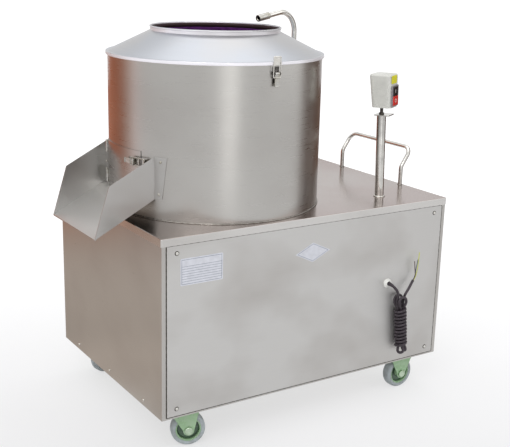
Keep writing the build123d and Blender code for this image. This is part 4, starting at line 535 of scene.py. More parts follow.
# Each finish: the function that makes it, and its settings.
FINISHES = {
    # Brushed sheet: soft streaks of the room, in the brush's direction.
    "brushed_stainless_walls": (brushed_sheet, (9, 9, 330), (3.2, 3.2, 2.2)),
    "brushed_stainless_panel": (brushed_sheet, (8, 8, 330), (2.6, 2.6, 2), (0.46, 0.52), "CAC9C7"),
    # Deck: its upright lip carries a painted highlight, pale and not metallic.
    "brushed_stainless_deck": (
        brushed_sheet, (9, 330, 330), (1.8, 1.8, 1.8), (0.17, 0.21), "A29591", 0, "D3D1CE"),
    "brushed_stainless_chute": (brushed_sheet, (14, 120, 14), (4, 4, 4), (0.28, 0.32), "BEBDBB"),
    "rolled_stainless_drum": (brushed_sheet, (9, 9, 330), (9, 9, 0.8), (0.26, 0.32)),
    # Spun cover: a bluish satin cone between a collar and skirt whose upright faces carry a
    # painted highlight, nearly white and barely metallic.
    "spun_stainless_cover": (
        brushed_sheet, (9, 9, 330), (5, 5, 2), (0.28, 0.33), "A9ACB2", 0.45, "F8F6FC", 0.15),
    "polished_stainless_tube": (polished_tube,),
    # Plated and ground metal: small, cloudy, and brighter or darker than the sheet.
    "bright_zinc_plate": (zinc_plate,),
    "pale_zinc_sleeve": (zinc_plate,),
    "zinc_plated_screws": (zinc_plate, "E4E3DF", "CFCCC4"),
    "zinc_plated_caps": (zinc_plate, "C3D3BE", "A3B89D"),
    # Catch and bail: zinc painted paler, a painted highlight. The latch's base: zinc painted dark,
    # a painted shadow.
    "polished_catch": (zinc_plate, "D9D7D2", "C4C1BA"),
    "darkened_latch": (zinc_plate, "6E6B68", "4C4946"),
    "blackened_stud": (zinc_plate, "5B5853", "3F3B38"),
    "brushed_weld": (zinc_plate, "9A9691", "85817B"),
    "ground_weld": (zinc_plate, "DAD8D3", "C2BFB9"),
    "sand_cast_iron": (cast_metal, "5A5A5C"),
    # Enamel: an even colour under a soft gloss, with dust and chips.
    "satin_grey_enamel": (enamel, "64686B", "585B5D"),
    "blue_grey_enamel": (enamel, "5D6B7C", "535F6D"),
    "pale_green_enamel": (enamel, "enamel", "A9C3A4"),
    # Dark green discs in the wheels' recesses: painted shade.
    "oiled_green_steel": (enamel, "44604A", "37463A"),
    # Rubber: no gloss, paler where dust lies.
    "extruded_rubber_sheath": (rubber, "cord", "4A4249", (0.38, 0.6), 900, 0.00008),
    "moulded_grey_rubber": (rubber, "tyre", "9BA0A0"),
    # Brown and purple sheets inside the cover, seen through the mouth: painted shade.
    "moulded_brown_rubber": (rubber, "33221F", "3A2430"),
    "moulded_purple_rubber": (rubber, "7A3C90", "5C2E6A"),
    # Dark rubber for the rings round the screws and the bead round the panel: painted shade.
    "sealing_rubber": (rubber, "39352F", "4B4640"),
    "belt_rubber_black": (rubber, "262526", "37342F"),
    # Grit of 2 mm grains: deep purple, nearly black between the grains.
    "bonded_grit": (grit_coat, "grit", 0.0022),
    # Plastic: an even colour with a fine skin, glossier where it is handled or drawn.
    "moulded_white_nylon": (moulded, "E6E6E2", 0.42),
    "moulded_grey_abs": (moulded, "box"),
    "moulded_dark_abs": (moulded, "8F8A8D"),
    "moulded_black_abs": (moulded, "black", 0.3),
    "moulded_red_abs": (moulded, "red", 0.3),
    "filled_sign": (moulded, "E4E1DA"),
    "yellow_film": (moulded, "yellow", 0.3),
    "core_earth_insulation": (moulded, "C9CF55", 0.35),
    "core_live_insulation": (moulded, "4B3A35", 0.35),
    "core_neutral_insulation": (moulded, "55606E", 0.35),
    # Printed foil: pale and satin, with a bluish grey line.
    "nameplate_foil": (ruled_foil, "nameplate", 7, 0.004, False),
    "diamond_plate_foil": (ruled_foil, "diamond_plate", 0, 0.003, True),
    # The stage: paper that looks white, and a brown glow that only reflections see.
    "white_paper": (white_paper,),
    "brown_screen": (lit_cloth,),
}


def finish_of(name):
    """The finish of that name, made the first time."""
    make, *settings = FINISHES[name]
    return bpy.data.materials.get(name) or make(name, *settings)


# --- stage

CAMERA_PLACE = (-1.55647, -2.49341, 1.35252)
CAMERA_RIGHT = (0.8439, -0.536, 0.0235)
CAMERA_AHEAD = (0.5221, 0.8102, -0.2666)
CAMERA_LENS, CAMERA_SENSOR = 68, 36
FLOOR_REACH, FLOOR_LEVEL = 60, -0.0004
# Name, place, the point it faces, width and height, and watts.
LAMPS = (
    ("key_lamp", (-2.6, -2.4, 3.2), (0, 0, 0.6), (2.4, 2.4), 62),
    ("side_lamp", (2.6, -2.6, 2.2), (0.1, 0, 0.5), (3.2, 3.2), 20),
    ("top_lamp", (0.2, 0.4, 4), (0, 0, 0.6), (3.6, 3.6), 42),
    ("strip_lamp", (-0.95, -3.1, 1), (-0.1, 0, 0.75), (0.8, 1.9), 4.5),
)
# The screen and the mat that only reflections see: metres, and degrees round from +X.
SCREEN_RADIUS = 1.55
SCREEN_ARC, MAT_ARC = (-27, 165), (100, 200)
SCREEN_HEIGHTS = ((2, 24, 98, 118), (1.4, 0.8, 0.8, 1.4))
MAT_INSIDE, MAT_LEVEL = 0.56, 0.002
# Colours of its foot and of its body, where one starts to pass into the other, and how high.
SCREEN_FOOT, SCREEN_BROWN = "D0C3B9", "8F6E5B"
FADE_START, FADE_HEIGHT = 0.05, 0.37
ARC_STEPS, REACH_STEPS = 96, 15
# How strong its red, green and blue are at these degrees, where the brown is full.
SCREEN_STOPS = (-27, -12, 6, 34, 60, 88, 103, 115, 128, 136, 143, 150, 158, 165)
SCREEN_LEVELS = (
    (0.4, 0.32, 0.38, 0.72, 1, 1.6, 2.2, 2, 1.6, 1.5, 1.6, 2.3, 3.6, 3.6),
    (0.34, 0.24, 0.29, 0.66, 0.83, 1, 1.5, 1.2, 0.8, 0.8, 1.2, 2.9, 5.5, 5.5),
    (0.29, 0.18, 0.23, 0.6, 0.85, 1, 1.4, 0.9, 0.5, 0.5, 1, 3.6, 8.2, 8.2))


def soft_lamp(name, place, aim, size, power):
    """A soft box of a width and a height that faces a point."""
    lamp = bpy.data.lights.new(name, "AREA")
    lamp.shape, lamp.energy = "RECTANGLE", power
    lamp.size, lamp.size_y = size
    made = placed(name, lamp)
    made.location = place
    made.rotation_mode = "QUATERNION"
    made.rotation_quaternion = (Vector(aim) - Vector(place)).to_track_quat("-Z", "Y")
    made.visible_camera = False


def arc(ends):
    """Angles between two ends in degrees, and their points (cos t, sin t, 0)."""
    t = np.radians(np.linspace(*ends, ARC_STEPS))
    return t, np.stack([np.cos(t), np.sin(t), np.zeros_like(t)], 1)[:, None]


def room_screen():
    """A low brown screen behind the machine and a mat on its left, seen only in the steel.

    Screen: point = radius * (cos t, sin t) and a height, t running round the far side.
    Mat: the same circle at growing radii, on the floor. Tone: the pale foot colour passes
    into the brown over the height, and each is multiplied by a share that varies with t.
    """
    t, ring = arc(SCREEN_ARC)
    rise = np.interp(np.degrees(t), *SCREEN_HEIGHTS)[:, None] * np.linspace(0, 1, REACH_STEPS)
    wall = SCREEN_RADIUS * ring + rise[:, :, None] * np.array([0, 0, 1])
    reach = np.linspace(MAT_INSIDE, SCREEN_RADIUS, REACH_STEPS)[:, None]
    mat = reach * arc(MAT_ARC)[1] + (0, 0, MAT_LEVEL)
    mesh = mesh_of("room_screen", [grid(wall), grid(mat)], "brown_screen")
    points = np.r_[wall.reshape(-1, 3), mat.reshape(-1, 3)]
    share = ((points[:, 2] - FADE_START) / FADE_HEIGHT).clip(0, 1)[:, None]
    foot, brown = np.array(linear(SCREEN_FOOT)), np.array(linear(SCREEN_BROWN))
    tone = foot * (1 - share) + brown * share
    angle = np.degrees(np.arctan2(points[:, 1], points[:, 0]))
    level = np.stack([np.interp(angle, SCREEN_STOPS, levels) for levels in SCREEN_LEVELS], 1)
    tone *= 1 + (level - 1) * share ** 2
    mesh.color_attributes.new("tone", "FLOAT_COLOR", "POINT").data.foreach_set(
        "color", np.c_[tone, np.ones(len(tone))].ravel())
    screen = placed("room_screen", mesh)
    for ray in ("camera", "diffuse", "transmission", "volume_scatter", "shadow"):
        setattr(screen, f"visible_{ray}", False)


class PEELER_OT_stage(Operator):
    """Camera, pale floor, soft lamps and white surroundings"""
    bl_idname = "peeler.stage"
    bl_label = "Stage"

    def execute(self, context):
        scene = context.scene
        ahead = Vector(CAMERA_AHEAD).normalized()
        right = Vector(CAMERA_RIGHT)
        right = (right - ahead * right.dot(ahead)).normalized()
        turn = Matrix((right, right.cross(ahead), -ahead)).transposed()
        lens = bpy.data.cameras.new("camera")
        lens.lens, lens.sensor_width, lens.sensor_fit = CAMERA_LENS, CAMERA_SENSOR, "HORIZONTAL"
        lens.clip_start, lens.clip_end = 0.05, 200
        scene.camera = placed("camera", lens)
        scene.camera.matrix_world = Matrix.Translation(CAMERA_PLACE) @ turn.to_4x4()
        side = np.linspace(-FLOOR_REACH, FLOOR_REACH, 25)
        ground = np.stack(np.meshgrid(side, side, [FLOOR_LEVEL], indexing="ij"), -1)[:, :, 0]
        placed("floor", mesh_of("floor", [grid(ground)], "white_paper"))
        room_screen()
        for lamp in LAMPS:
            soft_lamp(*lamp)
        world = bpy.data.worlds.new("white_room")
        world.use_nodes = True
        tree = world.node_tree
        tree.nodes.clear()
        strength = add(tree, "MapRange", {"Value": seen_rays(tree), "To Min": 0.55, "To Max": 1})
        white = add(tree, "Background", {"Color": (1, 1, 1, 1), "Strength": strength})
        add(tree, "OutputWorld", {"Surface": white})
        scene.world = world
        scene.view_settings.view_transform = "Standard"
        return {"FINISHED"}


# --- cord
# Points in millimetres from the cord's seat in the gland, along X, Y and Z.

LEAD_ROUTE = [
    (0, 0, 0), (0, -12, 0), (3, -23, -3), (8.5, -30, -10.5), (15, -32, -20.5), (21.5, -29, -31),
    (26, -24.5, -42),
]
TAIL_ROUTE = [
    (55, -21, -43), (62.5, -22, -31.5), (71, -21.5, -21), (79.5, -19.5, -10.5),
    (88, -18.5, 0.5),
]
HANK_TOP = (37.5, -19.5, -39)
HANK_LEAN = 5.5    # degrees
# From the hank's top, along its own length: the strands with their upper and lower loops.
STRANDS = [
    (-13, 0.5, -15), (-11.8, 0, -30), (-7.5, 0, -46), (-7.3, 0, -100), (-7.3, 0, -156),
    (-8.2, 0, -168), (-12.4, -0.3, -178.5), (-13.5, -0.5, -187.7), (-9.4, -3.7, -193),
    (-3.6, -8.3, -193), (0.5, -11.5, -187.7), (0.2, -11, -178.5), (-1.4, -8.4, -168),
    (-2.2, -7, -156), (-2.3, -7, -100), (-2.3, -7.2, -47), (-7.5, -9.2, -37), (-12.8, -10, -27),
    (-12.2, -10.2, -13), (-3.5, -10, -5.5), (7.5, -9.8, -6.5), (16, -9.8, -15), (17, -9.6, -28),
    (10, -8, -39), (6, -4.5, -49), (5.9, -4.3, -100), (6, -4.4, -156), (7, -5.2, -168),
    (11.6, -8.6, -178.5), (12.5, -9, -187.6), (12.5, -3.8, -192.8), (12.5, 3.3, -192.8),
    (12.5, 8.5, -187.6), (11.6, 8, -178.5), (7, 5, -168), (6, 4.3, -156), (5.9, 4.3, -100),
    (6.2, 5, -48), (12, 8.6, -36), (16.5, 10, -25), (15, 10.2, -11), (4.5, 10.2, -3),
    (-7.5, 10.2, -4.5), (-15, 10.2, -14), (-14, 9.8, -28), (-6, 8.2, -41), (-2.4, 7.1, -53),
    (-2.3, 7, -100), (-2.3, 7.2, -154), (-2.3, 7.2, -165.2), (-5.8, 8.6, -169.2),
    (-11.1, 10.7, -169.2), (-16.4, 7.9, -168.2),
]
WRAP_TURNS, WRAP_POINTS = 10.5, 13    # and the points of one turn
WRAP_START = 182    # degrees
WRAP_LOW, WRAP_TILT = -165.5, 1.1
WRAP_LEAVES = [(17, 7.2, -41), (18, 6.6, -29), (18.6, 2.4, -16)]
# Rim of the gland: share of its reach out of the panel, and millimetres inside its radius.
GLAND_RIM = ((0, 0), (0.25, 0), (0.42, 0.6), (0.5, 2.2), (0.56, 4.4), (0.88, 5.2),
             (0.97, 5.8), (1, 6.6))
GLAND_BORE = 0.0068
SLEEVE_RADIUS, SLEEVE_TAPER, SLEEVE_RIB, SLEEVE_RIBS = 0.0066, 0.0017, 0.0003, 5
CORE_STUB, CORE_BEND = 0.004, 0.016    # from the cord's end
# Each core's shift from the cord's middle, and its tip from the cord's end, in millimetres.
CORES = (("core_earth", (1.4, -0.6, 0), (22, 4, 86)), ("core_live", (-1.2, -1, 0), (4, 3, 60)),
         ("core_neutral", (0, 1.6, 0), (12, -3, 66)))


def cord_route(seat):
    """Points of the whole cord: lead, strands, the winding round them, and the free end.

    Winding: angle runs on, and each point is radius * (cos, sin) with a steady rise that
    tilts a little once in every turn.
    """
    lean = np.radians(-HANK_LEAN)
    upright = np.array([[np.cos(lean), 0, -np.sin(lean)], [0, 1, 0],
                        [np.sin(lean), 0, np.cos(lean)]])
    turns = np.linspace(0, WRAP_TURNS, int(WRAP_POINTS * WRAP_TURNS))
    angle = np.radians(WRAP_START) + 2 * np.pi * turns
    rise = MM * WRAP_LOW + sizes().wrap_pitch * turns + MM * WRAP_TILT * np.cos(angle + 0.5)
    radius = sizes().wrap * (1 + 0.02 * np.sin(0.37 * np.arange(len(turns))))
    winding = np.stack([radius * np.cos(angle), radius * np.sin(angle), rise], 1)
    lead, tail, top, strands, leaves = (MM * np.array(part) for part in (
        LEAD_ROUTE, TAIL_ROUTE, HANK_TOP, STRANDS, WRAP_LEAVES))
    hank = np.r_[strands, winding, leaves] @ upright + top
    return seat + np.r_[lead, hank, tail]


def route_curve(name, points, radius, finish):
    """A smooth round cord on its control points."""
    data = bpy.data.curves.new(name, "CURVE")
    data.dimensions = "3D"
    spline = data.splines.new("NURBS")
    spline.points.add(len(points) - 1)
    spline.points.foreach_set("co", np.c_[points, np.ones(len(points))].ravel())
    spline.order_u = 3
    spline.use_endpoint_u = True
    spline.resolution_u = 6
    data.bevel_depth, data.bevel_resolution, data.use_fill_caps = radius, 4, True
    data.materials.append(finish_of(finish))
    made = placed(name, data)
    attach(made, "machine")
    return made


def followed(curve):
    """Points along a curve, read from its own line without its thickness."""
    bare = curve.data.copy()
    bare.bevel_depth = 0
    probe = placed("probe", bare)
    mesh = bpy.data.meshes.new_from_object(probe)
    points = points_of(mesh)
    bpy.data.objects.remove(probe)
    bpy.data.meshes.remove(mesh)
    return points


class PEELER_OT_supply_cord(Operator):
    """Supply cord with its hank, bare cores, gland and sleeve"""
    bl_idname = "peeler.supply_cord"
    bl_label = "Supply cord"

    def execute(self, context):
        low, high = node_box("cable_gland")
        middle = (low + high) / 2
        seat = np.array([middle[0], high[1] - 2 * MM, middle[2]])
        sheath = "extruded_rubber_sheath"
        cord = route_curve("supply_cord", cord_route(seat), sizes().cord / 2, sheath)
        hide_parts("cord_lead", "cord_hank", "cord_tail")
        line = followed(cord)
        run = np.r_[0, np.cumsum(np.linalg.norm(np.diff(line, axis=0), axis=1))]
        radius = (high[0] - low[0]) / 2
        reach = high[1] - low[1]
        flange = [(0, GLAND_BORE),
                  *((share * reach, radius - MM * inset) for share, inset in GLAND_RIM),
                  (0.95 * reach, GLAND_BORE + 0.3 * MM), (0.6 * reach, GLAND_BORE)]
        nut = turned(flange, (middle[0], high[1], middle[2]), OUT, 64)
        gland = piece("gland_nut", [nut], "moulded_white_nylon")
        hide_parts("cable_gland")
        taper = line[run <= sizes().sleeve + 4 * MM]
        share = run[:len(taper)] / run[len(taper) - 1]
        ribs = SLEEVE_RIB * np.cos(2 * np.pi * SLEEVE_RIBS * share) * (share > 0.35)
        tube = swept(taper, SLEEVE_RADIUS - SLEEVE_TAPER * share + ribs, 24)
        sleeve = piece("gland_sleeve", [tube], sheath)
        end = line[-1]
        along = unit(end - line[-4])
        for name, side, tip in CORES:
            side, tip = MM * np.array(side), MM * np.array(tip)
            start, bend = end + side, end + side + along * CORE_BEND
            points = np.array([
                start - along * CORE_STUB, start + along * CORE_STUB, bend,
                bend + 0.45 * (end + tip - bend) + 1.5 * side, end + tip])
            route_curve(name, points, sizes().conductor / 2, f"{name}_insulation")
        return {"FINISHED"}


# --- cabinet

# Section of a dark ring round a screw's head, a painted shadow: millimetres out of the panel, and
# radius.
SHADE_RING = MM * np.array([(0, 4.6), (0, 6.6), (0.5, 6.4), (0.9, 5.7), (0.9, 4.8)])
# Dark bead round the front panel, painted shade in its gap: its gap and its depth.
SHADE_BEAD_GAP, SHADE_BEAD_DEPTH = 0.0009, 0.0006


def panel_screw_places():
    """Middles of the front panel's screws: its heads, parted into the four corners."""
    points = node_points("panel_screws")
    heads = points[points[:, 1] < node_box("front_panel")[0][1] - 0.0003][:, [0, 2]]
    right, upper = (heads > (heads.min(0) + heads.max(0)) / 2).T
    corners = [heads[(right == a) & (upper == b)] for a in (0, 1) for b in (0, 1)]
    return [(corner.min(0) + corner.max(0)) / 2 for corner in corners]


def panel_edge(step=0.004):
    """Points every step round the front panel, a gap outside its edges, on the front frame."""
    low, high = node_box("front_panel")
    x0, z0 = low[[0, 2]] - SHADE_BEAD_GAP
    x1, z1 = high[[0, 2]] + SHADE_BEAD_GAP
    across, upward = np.arange(x0, x1, step), np.arange(z0, z1, step)
    x = np.r_[across, np.full_like(upward, x1), across[::-1], np.full_like(upward, x0)]
    z = np.r_[np.full_like(across, z0), upward, np.full_like(across, z1), upward[::-1]]
    return np.stack([x, np.full_like(x, high[1] - SHADE_BEAD_DEPTH), z], 1)


class PEELER_OT_cabinet(Operator):
    """Finishes of the cabinet and its frame, dark rings of painted shadow round the screws, and a
    dark bead of painted shade round the panel
    """
    bl_idname = "peeler.cabinet"
    bl_label = "Cabinet"

    def execute(self, context):
        dress("brushed_stainless_walls", "cabinet_wrap", "front_frame", "bottom_pan")
        dress("brushed_stainless_panel", "front_panel")
        dress("brushed_stainless_deck", "deck")
        dress("zinc_plated_screws", "panel_screws")
        dress("bright_zinc_plate", "caster_bolts")
        dress("satin_grey_enamel", "base_frame")
        shade_finish = "sealing_rubber"
        face = node_box("front_panel")[0][1]
        # Dark rings round the screw heads: painted shadow.
        shade_rings = [turned(SHADE_RING, (x, face, z), OUT, 48) for x, z in panel_screw_places()]
        piece("screw_washers", shade_rings, shade_finish)
        # Dark bead round the panel: painted shade in the gap between panel and frame.
        piece("panel_sealant", [bead(panel_edge(), sizes().sealant, 0.02, OUT, 0.2)],
              shade_finish)
        return {"FINISHED"}


class PEELER_OT_labels(Operator):
    """Blank name plate and blank rhombus label"""
    bl_idname = "peeler.labels"
    bl_label = "Labels"

    def execute(self, context):
        for node in ("nameplate", "diamond_plate"):
            dress(f"{node}_foil", node)
        return {"FINISHED"}


# --- drum

# Dark sheets under the cover, painted shade inside its collar and cone: a point's millimetres from
# the mouth's top, and from its radius.
COLLAR_SHADE = ((-1.2, 0), (-13.6, 0), (-14.4, -1.4), (-2, -1.4))
SLOPE_SHADE = ((-14, 0), (-62.8, 100), (-65, 99), (-16, -1))
SHADE_SHEET_LOW, SHADE_SHEET_GAP = 0.0026, 0.0006    # below the cover's top, and inside its mouth
SHADE_SHEETS = (("mouth_lining", COLLAR_SHADE, "moulded_brown_rubber"),
           ("cover_lining", SLOPE_SHADE, "moulded_purple_rubber"))


class PEELER_OT_drum(Operator):
    """Finishes of the drum and its cover, dark sheets of painted shade inside the cover, and the
    weld round the foot
    """
    bl_idname = "peeler.drum"
    bl_label = "Drum"

    def execute(self, context):
        dress("rolled_stainless_drum", "drum_shell", "discharge_door", "drum_floor")
        dress("spun_stainless_cover", "cone_cover")
        low, high = node_box("drum_shell")
        x, y, _ = joint_of("turntable")[0]
        top = node_box("cone_cover")[1][2] - SHADE_SHEET_LOW
        mouth = sizes().mouth - SHADE_SHEET_GAP
        for name, section, finish in SHADE_SHEETS:
            profile = MM * np.array(section) + (top, mouth)
            piece(name, [turned(profile, (x, y, 0), (0, 0, 1), 240)], finish)
        radius = (high[1] - low[1]) / 2
        inset = 0.25 * sizes().weld
        count = int(2 * np.pi * radius / sizes().weld_ripple) * 4
        ring = circle((x, y, low[2]), radius + inset, count, inset)
        piece("drum_foot_weld", [bead(ring, sizes().weld, sizes().weld_ripple)],
              "brushed_weld")
        return {"FINISHED"}


class PEELER_OT_peeling(Operator):
    """Grit of the lining and the turntable"""
    bl_idname = "peeler.peeling"
    bl_label = "Peeling surfaces"

    def execute(self, context):
        dress("bonded_grit", "abrasive_lining", "turntable")
        return {"FINISHED"}


class PEELER_OT_chute(Operator):
    """Finishes of the chute, its rivets and the discharge door's fittings"""
    bl_idname = "peeler.chute"
    bl_label = "Chute"

    def execute(self, context):
        dress("brushed_stainless_chute", "chute")
        dress("bright_zinc_plate", "rivets", "door_hinge", "door_hook",
              "door_latch_base", "door_latch_lever", "door_latch_bail")
        return {"FINISHED"}


class PEELER_OT_cover_latch(Operator):
    """Finishes of the cover's catch and latch: a painted highlight on the catch and bail, a
    painted shadow on the base
    """
    bl_idname = "peeler.cover_latch"
    bl_label = "Cover latch"

    def execute(self, context):
        dress("polished_catch", "lid_catch", "lid_latch_bail")
        dress("darkened_latch", "lid_latch_base")
        dress("bright_zinc_plate", "lid_latch_lever")
        return {"FINISHED"}


# --- tubes and switch

POST_FOOT = (0.3575, -0.236)
POST_LEAN, SWITCH_TURN = 2, 28    # degrees
# Width and ripple of the small welds' beads, and how far they stand off the tube and deck.
HANDLE_WELD, HANDLE_WELD_GAP = (0.0026, 0.0026), 0.0006
POST_WELD, POST_WELD_GAP, POST_WELD_RADIUS = (0.0052, 0.004), 0.001, 0.015
BUTTON_STEPS, SIGN_STEPS = 41, 48
BUTTON_EDGE, BOX_EDGE, SIGN_RISE = 0.0022, 0.006, 0.0006
BAR_SIZE = (0.0011, 0.0058)     # half width, half height
RING_SIZE = (0.0062, 0.0021)    # outer radius, breadth
# Sticker: middle across, half width, middle below the box's top, half height.
STICKER = (-0.006, 0.021, 0.015, 0.0122)


class PEELER_OT_tubes(Operator):
    """Finishes of the water pipe, push handle, post and drain, and the welds at their feet"""
    bl_idname = "peeler.tubes"
    bl_label = "Tubes"

    def execute(self, context):
        dress("polished_stainless_tube", "water_pipe", "push_handle", "switch_post", "drain_spout")
        dress("pale_zinc_sleeve", "pipe_nozzle")
        dress("bright_zinc_plate", "pipe_clips")
        deck = node_box("deck")[1][2]
        points = node_points("push_handle")
        feet = points[points[:, 2] < node_box("push_handle")[0][2] + 2 * MM]
        near = feet[:, 1] < feet[:, 1].mean()
        beads = []
        for foot in (feet[near], feet[~near]):
            x, y, _ = (foot.min(0) + foot.max(0)) / 2
            radius = np.ptp(foot[:, 0]) / 2
            ring = circle((x, y, deck), radius + HANDLE_WELD_GAP, 96, HANDLE_WELD_GAP)
            beads.append(bead(ring, *HANDLE_WELD))
        piece("handle_welds", beads, "brushed_weld")
        ring = circle((*POST_FOOT, deck), POST_WELD_RADIUS, 120, POST_WELD_GAP)
        piece("post_weld", [bead(ring, *POST_WELD)], "ground_weld")
        return {"FINISHED"}


def switch_space():
    """The leaning, turned space of the switch box, with its height kept from the floor."""
    deck = node_box("deck")[1][2]
    lean = Matrix.Rotation(np.radians(-POST_LEAN), 4, "Y")
    turn = Matrix.Rotation(np.radians(SWITCH_TURN), 4, "Z")
    return (Matrix.Translation((*POST_FOOT, deck)) @ lean
            @ Matrix.Translation((0, 0, -deck)) @ turn)


def in_switch_space(node):
    """Box of a node in the switch's own space."""
    points, _ = moved((node_points(node), None), switch_space().inverted())
    return points.min(0), points.max(0)


def button_cap(low, high):
    """A push button: rounded edges, a shallow dish, straight sides.

    Face: a rounded square grid, s and t from -1 to 1; the rim falls off as a quarter circle
    and the dish is a cosine bowl. Sides: the outline carried straight back.
    """
    half_x, _, half_z = (high - low) / 2
    middle_x, _, middle_z = (high + low) / 2
    s = np.sin(np.linspace(-np.pi / 2, np.pi / 2, BUTTON_STEPS))
    s, t = np.meshgrid(s, s, indexing="ij")
    x, z = half_x * s, half_z * t
    edge = np.minimum(half_x - np.abs(x), half_z - np.abs(z)).clip(0, BUTTON_EDGE)
    fall = BUTTON_EDGE - np.sqrt(np.maximum(BUTTON_EDGE**2 - (BUTTON_EDGE - edge) ** 2, 0))
    reach = np.hypot(s, t).clip(0, 0.86) / 0.86
    bowl = sizes().dish * (0.5 + 0.5 * np.cos(np.pi * reach))
    face = np.stack([middle_x + x, low[1] + fall + bowl, middle_z + z], -1)
    rim = np.r_[face[:, 0], face[-1, 1:], face[-2::-1, -1], face[0, -2:0:-1]]
    back = rim.copy()
    back[:, 1] = high[1]
    middle = np.broadcast_to(back.mean(0), back.shape)
    return [grid(face), grid(np.stack([rim, back, middle], 1), True)]


def sign_ring(centre):
    """A flat raised ring on a button's face."""
    outer, breadth = RING_SIZE
    inner = outer - breadth
    profile = [(0, inner), (SIGN_RISE, inner), (SIGN_RISE, outer), (0, outer)]
    return turned(profile, centre, OUT, SIGN_STEPS)


def sign_bar(centre):
    """A raised upright bar with rounded ends: an outline carried forward, with a middle point."""
    half_width, half_height = BAR_SIZE
    t = around(SIGN_STEPS)
    x = half_width * np.cos(t)
    z = half_width * np.sin(t) + np.where(np.sin(t) >= 0, 1, -1) * (half_height - half_width)
    outline = np.stack([x, np.zeros_like(x), z], 1) + centre
    front = outline - (0, SIGN_RISE, 0)
    middle = np.broadcast_to(front.mean(0), front.shape)
    return grid(np.stack([outline, front, middle], 1), True)


def sticker_faces():
    """Front and back of the sticker, bent over the box's rounded upper edge.

    A square grid, s and t from -1 to 1, whose sides bulge in a little; y follows the edge's
    quarter circle.
    """
    low, high = in_switch_space("switch_box")
    middle, half_width, below, half_height = STICKER
    s = np.linspace(-1, 1, BUTTON_STEPS)
    s, t = np.meshgrid(s, s, indexing="ij")
    x = middle + half_width * s * np.sqrt(1 - 0.12 * t**4)
    z = high[2] - below + half_height * t * np.sqrt(1 - 0.12 * s**4)
    over = (z - (high[2] - BOX_EDGE)).clip(0, BOX_EDGE - 0.0001)
    y = low[1] + BOX_EDGE - np.sqrt(BOX_EDGE**2 - over**2)
    return [grid(np.stack([x, y - sheet, z], -1)) for sheet in (sizes().sticker, 0)]


class PEELER_OT_switch(Operator):
    """Switch box finishes, push buttons and the blank sticker"""
    bl_idname = "peeler.switch"
    bl_label = "Switch"

    def execute(self, context):
        space = switch_space()
        dress("moulded_grey_abs", "switch_box")
        dress("moulded_dark_abs", "switch_bezel")
        dress("blackened_stud", "switch_stud")
        for node, colour, sign in (("start_button", "black", sign_bar),
                                   ("stop_button", "red", sign_ring)):
            low, high = in_switch_space(node)
            parts = [moved(part, space) for part in button_cap(low, high)]
            cap = piece(f"{node}_cap", parts, f"moulded_{colour}_abs", node)
            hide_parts(node)
            centre = (low + high) / 2
            centre[1] = low[1] + sizes().dish + 0.1 * MM
            part = moved(sign(centre), space)
            piece(f"{node}_sign", [part], "filled_sign", node, False)
        parts = [moved(part, space) for part in sticker_faces()]
        piece("switch_sticker", parts, "yellow_film")
        return {"FINISHED"}


# --- casters and drive

TYRE_DEPTH, TYRE_WIDTH, CROWN_DROP, SHOULDER_DROP = 0.013, 0.032, 0.0055, 0.0075
# Pressed cap over an axle's nut: millimetres out from the fork's leg, and radius.
AXLE_CAP = MM * np.array([
    (0, 0), (0, 11.9), (4.6, 11.8), (5.8, 11), (6.3, 9.6), (6, 8), (5.7, 7.4), (5.7, 0)])
# Dark disc inside a wheel's rim, painted shade in the hub's recess: millimetres from its middle
# plane, and radius.
PAINTED_SHADE_DISC = MM * np.array([(4.1, 14.6), (4.1, 32.4), (5, 32.4), (6, 30), (6, 17), (5, 14.6)])


def tyre_profile(radius):
    """Closed half section of a tyre: rounded tread, two grooves, and a step on each side."""
    half, inner, step = TYRE_WIDTH / 2, radius - TYRE_DEPTH, radius - SHOULDER_DROP
    across = half * np.sin(np.pi / 2 * np.linspace(-1, 1, 33))
    crown = radius - CROWN_DROP * np.abs(across / half) ** 4.2
    crown -= sizes().tread * np.exp(-((np.abs(across) - 0.34 * half) / (0.055 * half)) ** 2)
    right = [(half, step), (half - 0.001, step - 0.0012), (half - 0.001, inner + 0.0016),
             (half - 0.0004, inner)]
    left = [(-a, r) for a, r in right[::-1]]
    return left + list(zip(across, crown)) + right


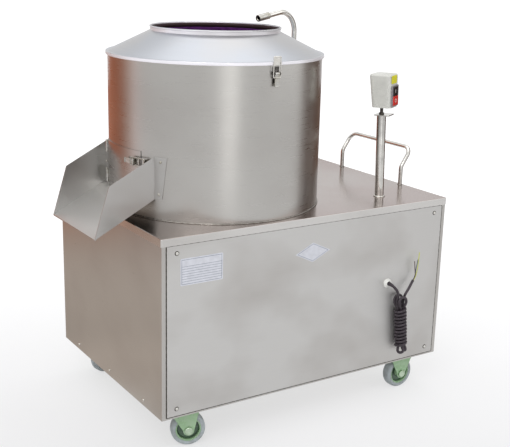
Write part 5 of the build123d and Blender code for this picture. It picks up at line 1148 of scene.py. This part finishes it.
class PEELER_OT_casters(Operator):
    """Moulded tyres, enamelled wheels and forks, dark discs of painted shade in the hubs'
    recesses, and caps over the axle nuts
    """
    bl_idname = "peeler.casters"
    bl_label = "Casters"

    def execute(self, context):
        dress("pale_green_enamel", "swivel_plates", "swivel_fork_1", "swivel_fork_2",
              "rigid_forks", *(f"wheel_hub_{index}" for index in range(1, 5)))
        for index in range(1, 5):
            wheel = f"wheel_{index}"
            fork = f"swivel_fork_{index}" if index < 3 else "machine"
            place, axis = joint_of(wheel)
            low, high = node_box(f"wheel_tyre_{index}")
            section = tyre_profile((high[2] - low[2]) / 2)
            tread = turned(section, place, axis, 120)
            tyre = piece(f"tyre_{index}", [tread], "moulded_grey_rubber", wheel)
            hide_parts(f"wheel_tyre_{index}")
            # Dark discs on both sides of each hub: painted shade in its recess.
            plates = [turned(PAINTED_SHADE_DISC, place, side * axis) for side in (-1, 1)]
            piece(f"guard_plates_{index}", plates, "oiled_green_steel", wheel)
            caps = [turned(AXLE_CAP, place + side * sizes().axle * axis, side * axis, 64)
                    for side in (-1, 1)]
            piece(f"axle_caps_{index}", caps, "zinc_plated_caps", fork)
        return {"FINISHED"}


class PEELER_OT_drive(Operator):
    """Finishes of the motor, belts, pulleys, shaft and bearing housing"""
    bl_idname = "peeler.drive"
    bl_label = "Drive"

    def execute(self, context):
        dress("blue_grey_enamel", "motor")
        dress("sand_cast_iron", "motor_pulley", "shaft_pulley", "bearing_housing")
        dress("belt_rubber_black", "drive_belts")
        dress("bright_zinc_plate", "main_shaft")
        return {"FINISHED"}


# --- add-on

OPERATORS = (
    PEELER_OT_stage, PEELER_OT_supply_cord, PEELER_OT_casters, PEELER_OT_cabinet,
    PEELER_OT_labels, PEELER_OT_drum, PEELER_OT_peeling, PEELER_OT_chute,
    PEELER_OT_cover_latch, PEELER_OT_tubes, PEELER_OT_switch, PEELER_OT_drive,
)


class PEELER_PT_panel(Panel):
    """Lists the peeler's operators, sizes and colours"""
    bl_label = "Potato peeler"
    bl_idname = "PEELER_PT_panel"
    bl_space_type = "VIEW_3D"
    bl_region_type = "UI"
    bl_category = "Peeler"

    def draw(self, context):
        for operator in OPERATORS:
            self.layout.operator(operator.bl_idname)
        for group in (context.scene.peeler_sizes, context.scene.peeler_colours):
            for name in group.__annotations__:
                self.layout.prop(group, name)


CLASSES = (PeelerSizes, PeelerColours, *OPERATORS, PEELER_PT_panel)


def register():
    for item in CLASSES:
        bpy.utils.register_class(item)
    bpy.types.Scene.peeler_sizes = PointerProperty(type=PeelerSizes)
    bpy.types.Scene.peeler_colours = PointerProperty(type=PeelerColours)


def unregister():
    del bpy.types.Scene.peeler_colours
    del bpy.types.Scene.peeler_sizes
    for item in reversed(CLASSES):
        bpy.utils.unregister_class(item)


def main():
    register()
    for operator in OPERATORS:
        group, name = operator.bl_idname.split(".")
        getattr(getattr(bpy.ops, group), name)()


if __name__ == "__main__":
    main()
